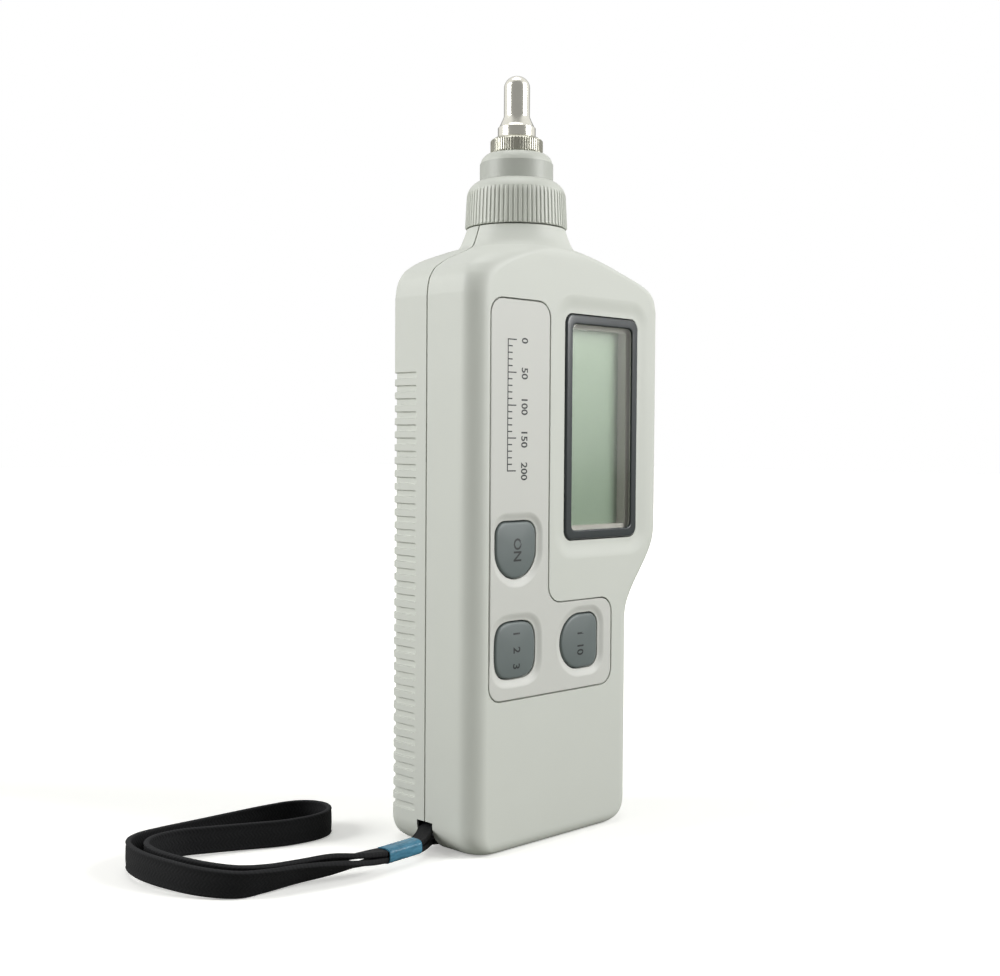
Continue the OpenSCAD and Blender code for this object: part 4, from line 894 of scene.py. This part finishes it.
keyPanel = plateY("keyPanel", panelOutline(-panel["gap"]), faceY, faceY + panel["thick"])
cut(keyPanel, *[dishCutter(which) for which in keyPlaces])
cut(keyPanel, *[keyHole(which, faceY - past, faceY + 3) for which in keyPlaces])
flatten(keyPanel, 0.05)
soften(keyPanel, 0.25, 3, 40, 40)
settle(keyPanel, "meter", "panel", "key_panel")
print("key panel ready")


# Keys: stem, flange, upright side, rounded edge and crowned top in one skin
def makeKey(which):
    x, z = keyPlaces[which]
    edge, half = keys["round"], keys["width"] / 2
    outer, flange = keyOutline(which, 0), keyOutline(which, keys["flange"])

    def ring(shape, y, share=1.0):
        return [(x + a * share, y, z + b * share) for a, b in shape]

    def crown(share):
        return faceY + keys["drop"] + (half * share) ** 2 / (2 * keys["crown"])

    stem = circle(keys["stemR"], len(outer))
    rings = [ring(stem, keys["stemBack"]), ring(stem, keys["flangeBack"]), ring(flange, keys["flangeBack"]),
             ring(flange, keys["flangeFront"]), ring(outer, keys["flangeFront"]),
             ring(outer, crown(1) + edge * 1.1)]
    for i in range(1, 6):
        a = math.radians(90 * i / 5)
        share = 1 - edge * (1 - math.cos(a)) / half
        rings.append(ring(outer, crown(share) + edge * (1 - math.sin(a)) * 1.1, share))
    rings += [ring(outer, crown(share), share) for share in (0.85, 0.75, 0.6, 0.45, 0.3, 0.15)]
    piece = soften(skin(which + "Key", rings), smooth=50)
    settle(piece, which + "_key", "key", which + "_button")


for which in keyPlaces:
    makeKey(which)
print("keys ready")

# Generic prints: a plain scale on the panel and short marks on the keys
ink = mouldedPlastic("dark grey pad printing ink", "#181c1c", 0.5, 0.2, 0.004)
prints = {"lift": 0.012, "scaleX": -22.6, "scaleTop": 118.0, "step": 1.5, "ticks": 20, "tick": 1.3,
          "longTick": 2.6, "line": 0.28, "spine": 0.3, "numbers": 2.8, "numberX": 5.2, "keyStep": 3.8}
keyPrints = {"measure": (["ON"], 3.5), "mode": (["1", "2", "3"], 3.1), "range": (["1", "10"], 3.1)}


def printedText(words, x, z, size):  # reads downwards, with the tops of the letters to the right
    curve = bpy.data.curves.new("letters", "FONT")
    curve.body, curve.size, curve.align_x, curve.align_y = words, size * mm, "CENTER", "CENTER"
    curve.resolution_u, curve.offset = 3, 0.02 * size * mm
    holder = bpy.data.objects.new("letters", curve)
    graph = bpy.context.evaluated_depsgraph_get()
    mesh = bpy.data.meshes.new_from_object(holder.evaluated_get(graph))
    bpy.data.objects.remove(holder)
    bpy.data.curves.remove(curve)
    for v in mesh.vertices:
        v.co = Vector((x * mm + v.co.y, 0, z * mm - v.co.x))
    return inScene("letters", mesh)


def layOn(piece, height):  # lays a flat print on the surface whose depth is height(x, z)
    for v in piece.data.vertices:
        v.co.y = (height(v.co.x / mm, v.co.z / mm) - prints["lift"]) * mm
    with editing(piece) as work:
        work.normal_update()
        bmesh.ops.reverse_faces(work, faces=[f for f in work.faces if f.normal.y > 0])
    return piece


def plainMark(x, z, w, h):
    return meshPiece("mark", [(x, 0, z), (x + w, 0, z), (x + w, 0, z + h), (x, 0, z + h)], [(0, 1, 2, 3)])


marks = []
for i in range(prints["ticks"] + 1):
    z = prints["scaleTop"] - prints["step"] * i
    major = i % 5 == 0
    marks.append(plainMark(prints["scaleX"], z, prints["longTick" if major else "tick"], prints["line"]))
    if major:
        marks.append(printedText(str(i * 10), prints["scaleX"] + prints["numberX"], z, prints["numbers"]))
scaleLength = prints["step"] * prints["ticks"]
marks.append(plainMark(prints["scaleX"] - prints["spine"], prints["scaleTop"] - scaleLength,
                       prints["spine"], scaleLength + prints["line"]))
settle(layOn(join("panelPrint", *marks), lambda x, z: faceY), "meter", "panel", material=ink)
for which, (words, size) in keyPrints.items():
    cx, cz = keyPlaces[which]
    first = cz + (len(words) - 1) * prints["keyStep"] / 2
    pieces = [printedText(word, cx, first - prints["keyStep"] * k, size) for k, word in enumerate(words)]
    label = layOn(join(which + "Print", *pieces),
                  lambda x, z: faceY + keys["drop"] + ((x - cx) ** 2 + (z - cz) ** 2) / (2 * keys["crown"]))
    settle(label, which + "_key", "key", material=ink)
print("prints ready")

# Bezel, as growth from the window, corner radius and depth of each line of its closed section
bezelFront, lensY = faceY + bezel["drop"], faceY + bezel["lensDrop"]
side, lap, outR, inR = bezel["side"], bezel["lap"], bezel["round"], bezel["windowRound"]
bezelProfile = [
    (side, outR, skinY + 0.4), (side, outR, bezelFront + 0.55), (side - 0.06, outR - 0.06, bezelFront + 0.3),
    (side - 0.22, outR - 0.2, bezelFront + 0.1), (side - 0.45, outR - 0.4, bezelFront),
    (0.3, inR + 0.25, bezelFront), (0.12, inR + 0.1, bezelFront + 0.04), (0.02, inR, bezelFront + 0.16),
    (0, inR, bezelFront + 0.3), (0, inR, lensY), (lap, inR, lensY), (lap, inR, skinY + 0.9),
    (side + lap, outR, skinY + 0.9), (side + lap, outR, skinY + 0.02), (side, outR, skinY + 0.02),
]
bezelPiece = skin("displayBezel", [
    [(x, y, z) for x, z in windowRing(grow, r, 10)] for grow, r, y in bezelProfile], close=True)
settle(soften(bezelPiece, smooth=40), "meter", "bezel", "display_bezel")

# Window: a pane with a step all round that seats behind the bezel
stepY, paneBack = lensY + 0.02, lensY + bezel["lens"]
paneProfile = [(-0.3, faceY + 0.38), (-0.12, faceY + 0.42), (-0.04, faceY + 0.55), (-0.04, stepY),
               (lap - 0.05, stepY), (lap - 0.05, paneBack - 0.1), (lap - 0.15, paneBack)]
windowPane = skin("displayWindow", [[(x, y, z) for x, z in windowRing(grow, inR)] for grow, y in paneProfile])
settle(soften(windowPane, smooth=50), "meter", "lens", "display_lens")
windowPane.data.materials.append(mouldedPlastic("sawn edge of the window", "#c3c0bb", 0.5, 0.2, 0.01))
for face in windowPane.data.polygons:
    face.material_index = 1 if abs(face.normal.y) < 0.3 else 0
print("display ready")

# Collar with its grooves; the profiles of the neck are radius and height
arcEnd = math.degrees(math.acos(1 - (neck["collarTopR"] - neck["hole"]) / neck["arcX"]))
collarProfile = [
    (neck["hole"], neck["counterTop"] + 0.05), (neck["counterR"], neck["counterTop"]),
    (neck["counterR"], neck["collarLow"] + 0.25), (neck["counterR"] + 0.25, neck["collarLow"]),
    (neck["collarR"] - 0.2, neck["collarLow"]), (neck["collarR"], neck["collarLow"] + 0.2),
]
collarProfile += arc(neck["collarTopR"] - neck["arcX"], neck["collarTop"] - neck["arcZ"],
                     neck["arcX"], neck["arcZ"], 0, arcEnd, 14)
collarPiece = turned("neckCollar", collarProfile, neckX, sides=140, close=True)
collarSide = neck["collarTop"] - neck["arcZ"] - neck["collarLow"]
lean = -math.atan((neck["collarR"] - neck["collarTopR"]) / collarSide)
cut(collarPiece, ringed(neck["grooves"], neck["collarTopR"] + neck["grooveOut"], neck["grooveR"],
                        neck["grooveFrom"], neck["grooveTo"], lean))
settle(soften(collarPiece, smooth=28), "collar", "collar", "neck_collar")

# Sensor sleeve and its rounded cap
sleeveProfile = [
    (neck["sleeveBore"], neck["sleeveLow"]), (neck["sleeveInR"], neck["sleeveLow"]),
    (neck["sleeveInR"], neck["spigotTop"]), (neck["flangeR"], neck["spigotTop"]),
    (neck["flangeR"], neck["flangeTop"]), (neck["sleeveR"], neck["flangeTop"]),
    (neck["sleeveR"], neck["capLow"] - 0.12), (neck["sleeveR"] - 0.08, neck["capLow"]),
    (neck["sleeveBore"], neck["capLow"]),
]
sleevePiece = soften(turned("sensorSleeve", sleeveProfile, neckX, close=True), smooth=40)
sleevePlastic = mouldedPlastic("moulded grey sleeve", "#b4b7af", 0.45, 0.3, 0.02)
settle(sleevePiece, "meter", "collar", "sensor_sleeve", material=sleevePlastic)
capProfile = [(neck["capBore"], neck["capLow"]), (neck["sleeveR"] - 0.12, neck["capLow"])]
for i in range(1, 13):
    z = mix(neck["capLow"] + 0.06, neck["capTop"], i / 12)
    rise = max(0, z - (neck["capTop"] - neck["capZ"])) / neck["capZ"]
    inwards = neck["capX"] * (1 - math.sqrt(max(0, 1 - rise * rise)))
    capProfile.append((neck["sleeveR"] - 0.04 - inwards, z))
capProfile.append((neck["capBore"], neck["capTop"]))
capPiece = soften(turned("sensorCap", capProfile, neckX, close=True), smooth=40)
capPlastic = mouldedPlastic("moulded pale sleeve cap", "#c6c9c0", 0.45, 0.3, 0.02)
settle(capPiece, "meter", "collar", "sensor_cap", material=capPlastic)
print("neck ready")

# Knurled ring and measuring tip, as profiles of radius and height
probe = {"ringR": 6.35, "knurls": 60, "bar": 0.22, "knurlLow": 163.8, "knurlTop": 168.8, "tipR": 3.15,
         "coneLow": (4.3, 170.85), "coneTop": (3.25, 173.1), "dome": 0.9, "top": 183.2, "axis": 0.02}
ringProfile = [
    (3.45, 164.4), (6.1, 164.4), (probe["ringR"], 164.65), (probe["ringR"], 167.35), (6.1, 167.65),
    (5.25, 168.2), (5.0, 168.3), (4.65, 168.3), (4.65, 167.7), (5.15, 167.7), (5.15, 166.75), (3.45, 166.75),
]
ringPiece = turned("probeRing", ringProfile, neckX, sides=144, close=True)
cut(ringPiece, ringed(probe["knurls"], probe["ringR"], probe["bar"], probe["knurlLow"], probe["knurlTop"]))
knurledNickel = turnedMetal("knurled nickel plate", "#b3b2a6", 0.34)
settle(soften(ringPiece, smooth=30), "ring", "nickel", "probe_ring", material=knurledNickel)

dome = probe["tipR"] * probe["dome"]
(lowR, lowZ), (topR, topZ) = probe["coneLow"], probe["coneTop"]
tipProfile = [(probe["axis"], 166.9), (5.1, 166.9), (5.1, 167.65),
              (4.6, 167.65), (4.6, 170.55), (4.5, 170.72)]
tipProfile += [(mix(lowR, topR, t), mix(lowZ, topZ, t)) for t in (0, 0.25, 0.5, 0.75)]
tipProfile += [(3.22, 173.25), (probe["tipR"], 173.5)]
tipProfile += arc(0, probe["top"] - dome, probe["tipR"], dome, 0, 90, 14)[:-1]
tipProfile.append((probe["axis"], probe["top"]))
tipPiece = soften(turned("probeTip", tipProfile, neckX), smooth=40)
settle(tipPiece, "probe", "nickel", "probe_tip")
print("probe ready")

# Battery cover
cover = {"left": -18.95, "right": 7.75, "low": 0.3, "top": 54.3, "round": 2.8,
         "tongue": 1.0, "tongueLow": 3.1, "tongueFrom": 13.5, "tongueTo": 14.3, "ridges": 6, "ridgeStep": 2.4,
         "ridgeLow": 12.0, "ridgeHigh": 1.2, "ridgeLeft": -13.0, "ridgeRight": 1.8, "ridgeDeep": 0.5}
inside, r = backY - casing["wall"], cover["round"]
corner = [p for p in arc(backY - r, cover["low"] + r, r, r, -90, 0, 9) if p[0] >= inside]
coverSide = [(inside, cover["low"])] + corner + [(backY, cover["top"]), (inside, cover["top"])]
coverPiece = skin("batteryCover", [
    [(x, y, z) for y, z in coverSide] for x in (cover["left"], cover["right"])])
ridge = block((cover["ridgeLeft"], backY - cover["ridgeDeep"], 0),
              (cover["ridgeRight"], backY + past, cover["ridgeHigh"]))
ridges = stacked(ridge, cover["ridges"], cover["ridgeStep"], cover["ridgeLow"])
discard(ridge)
cut(coverPiece, ridges)
tongues = [block((x - a, cover["tongueFrom"], cover["tongueLow"]), (x + b, cover["tongueTo"], cover["top"]))
           for x, a, b in ((cover["left"], cover["tongue"], 0.5), (cover["right"], 0.5, cover["tongue"]))]
soften(coverPiece, 0.15, 2, 40, 40)
coverPiece = join("batteryCover", coverPiece, *tongues)
settle(coverPiece, "cover", "case", "battery_cover")
print("cover ready")

# Floor, world and lamps
light = {  # lengths in metres, apart from the two of the floor in millimetres
    "ambient": 0.16, "near": 0.2, "far": 0.75, "nearGlow": 0.35, "floorReach": 4000, "floorLevel": -0.05,
    "gapTowards": (-0.7, -0.7, 0.1), "gap": (0.33, 0.56), "farGap": (-0.8, -0.6), "gapLevel": 0.41,
    "target": (0, 0, 0.09),
    "boxes": {  # place, size and power in watts
        "leftBox": ((-1.0, 0.55, 0.55), (0.6, 0.8), 12.0),
        "rightBox": ((0.62, -1.0, 0.6), (0.6, 0.8), 14.7),
        "topBox": ((0.0, 0.1, 1.3), (0.7, 0.7), 3.6),
    },
}


def whiteBoard():
    # Matt white board: to the camera it fades to clean white away from the meter and keeps the shadow
    # beside it, and it sends less light back up than it shows
    material, tree, place = startMaterial("matt white board")
    tones = blend(tree, noise(tree, place, 3.0), hexColor("#f4f4f1"), hexColor("#fafaf7"))
    shown = addNode(tree, "ShaderNodeBsdfDiffuse", {"Color": tones, "Roughness": 0.5})
    bounce = addNode(tree, "ShaderNodeBsdfDiffuse", {"Color": hexColor("#a6a7a1"), "Roughness": 0.5})
    reach = addNode(tree, "ShaderNodeVectorMath", {0: place}, operation="LENGTH").outputs["Value"]
    glow = spread(tree, reach, light["nearGlow"], 1.0, light["near"], light["far"], "SMOOTHSTEP")
    shine = addNode(tree, "ShaderNodeEmission", {"Color": hexColor("#fffffc"), "Strength": glow})
    seen = addNode(tree, "ShaderNodeAddShader", {0: shown.outputs["BSDF"], 1: shine.outputs["Emission"]})
    ray = addNode(tree, "ShaderNodeLightPath").outputs
    both = addNode(tree, "ShaderNodeMixShader", {
        0: ray["Is Camera Ray"], 1: bounce.outputs["BSDF"], 2: seen.outputs["Shader"]})
    return show(material, both.outputs["Shader"])


reach, level = light["floorReach"], light["floorLevel"]
corners = [(x * reach, y * reach, level) for x, y in ((-1, -1), (1, -1), (1, 1), (-1, 1))]
floor = meshPiece("floor", corners, [(0, 1, 2, 3)])
floor.data.materials.append(whiteBoard())

# Glossy faces see bright studio walls, a dark gap where the camera stands and a narrow one opposite
world = bpy.data.worlds.new("studio")
bpy.context.scene.world = world
world.use_nodes = True
sky = world.node_tree
sky.nodes.clear()
ray = addNode(sky, "ShaderNodeLightPath").outputs
direction = addNode(sky, "ShaderNodeTexCoord").outputs["Generated"]
facing = addNode(sky, "ShaderNodeVectorMath", {0: direction, 1: light["gapTowards"]}, operation="DOT_PRODUCT")
gap = spread(sky, facing.outputs["Value"], 1.0, light["gapLevel"], *light["gap"], "SMOOTHSTEP")
farGap = spread(sky, facing.outputs["Value"], light["gapLevel"], 1.0, *light["farGap"], "SMOOTHSTEP")
inGlossy = maths(sky, "MULTIPLY", ray["Is Glossy Ray"], maths(sky, "MINIMUM", gap, farGap))
# Straight through the clear window counts as seen, light that a display behind it scatters doesn't
direct = maths(sky, "LESS_THAN", ray["Diffuse Depth"], 0.5)
through = maths(sky, "MULTIPLY", ray["Is Transmission Ray"], direct)
clear = maths(sky, "MAXIMUM", ray["Is Camera Ray"], through)
strength = maths(sky, "MAXIMUM", maths(sky, "MAXIMUM", clear, inGlossy), light["ambient"])
paint = addNode(sky, "ShaderNodeBackground", {"Color": (1, 1, 1, 1), "Strength": strength})
addNode(sky, "ShaderNodeOutputWorld", {"Surface": paint.outputs["Background"]})

for name, (place, size, power) in light["boxes"].items():
    lamp = bpy.data.lights.new(name, "AREA")
    lamp.shape, lamp.size, lamp.size_y, lamp.energy = "RECTANGLE", size[0], size[1], power
    away = Vector(place) - Vector(light["target"])
    aim = away.to_track_quat("Z", "Y").to_matrix().to_4x4()
    inScene(name, lamp).matrix_world = Matrix.Translation(Vector(place)) @ aim
print("light ready")
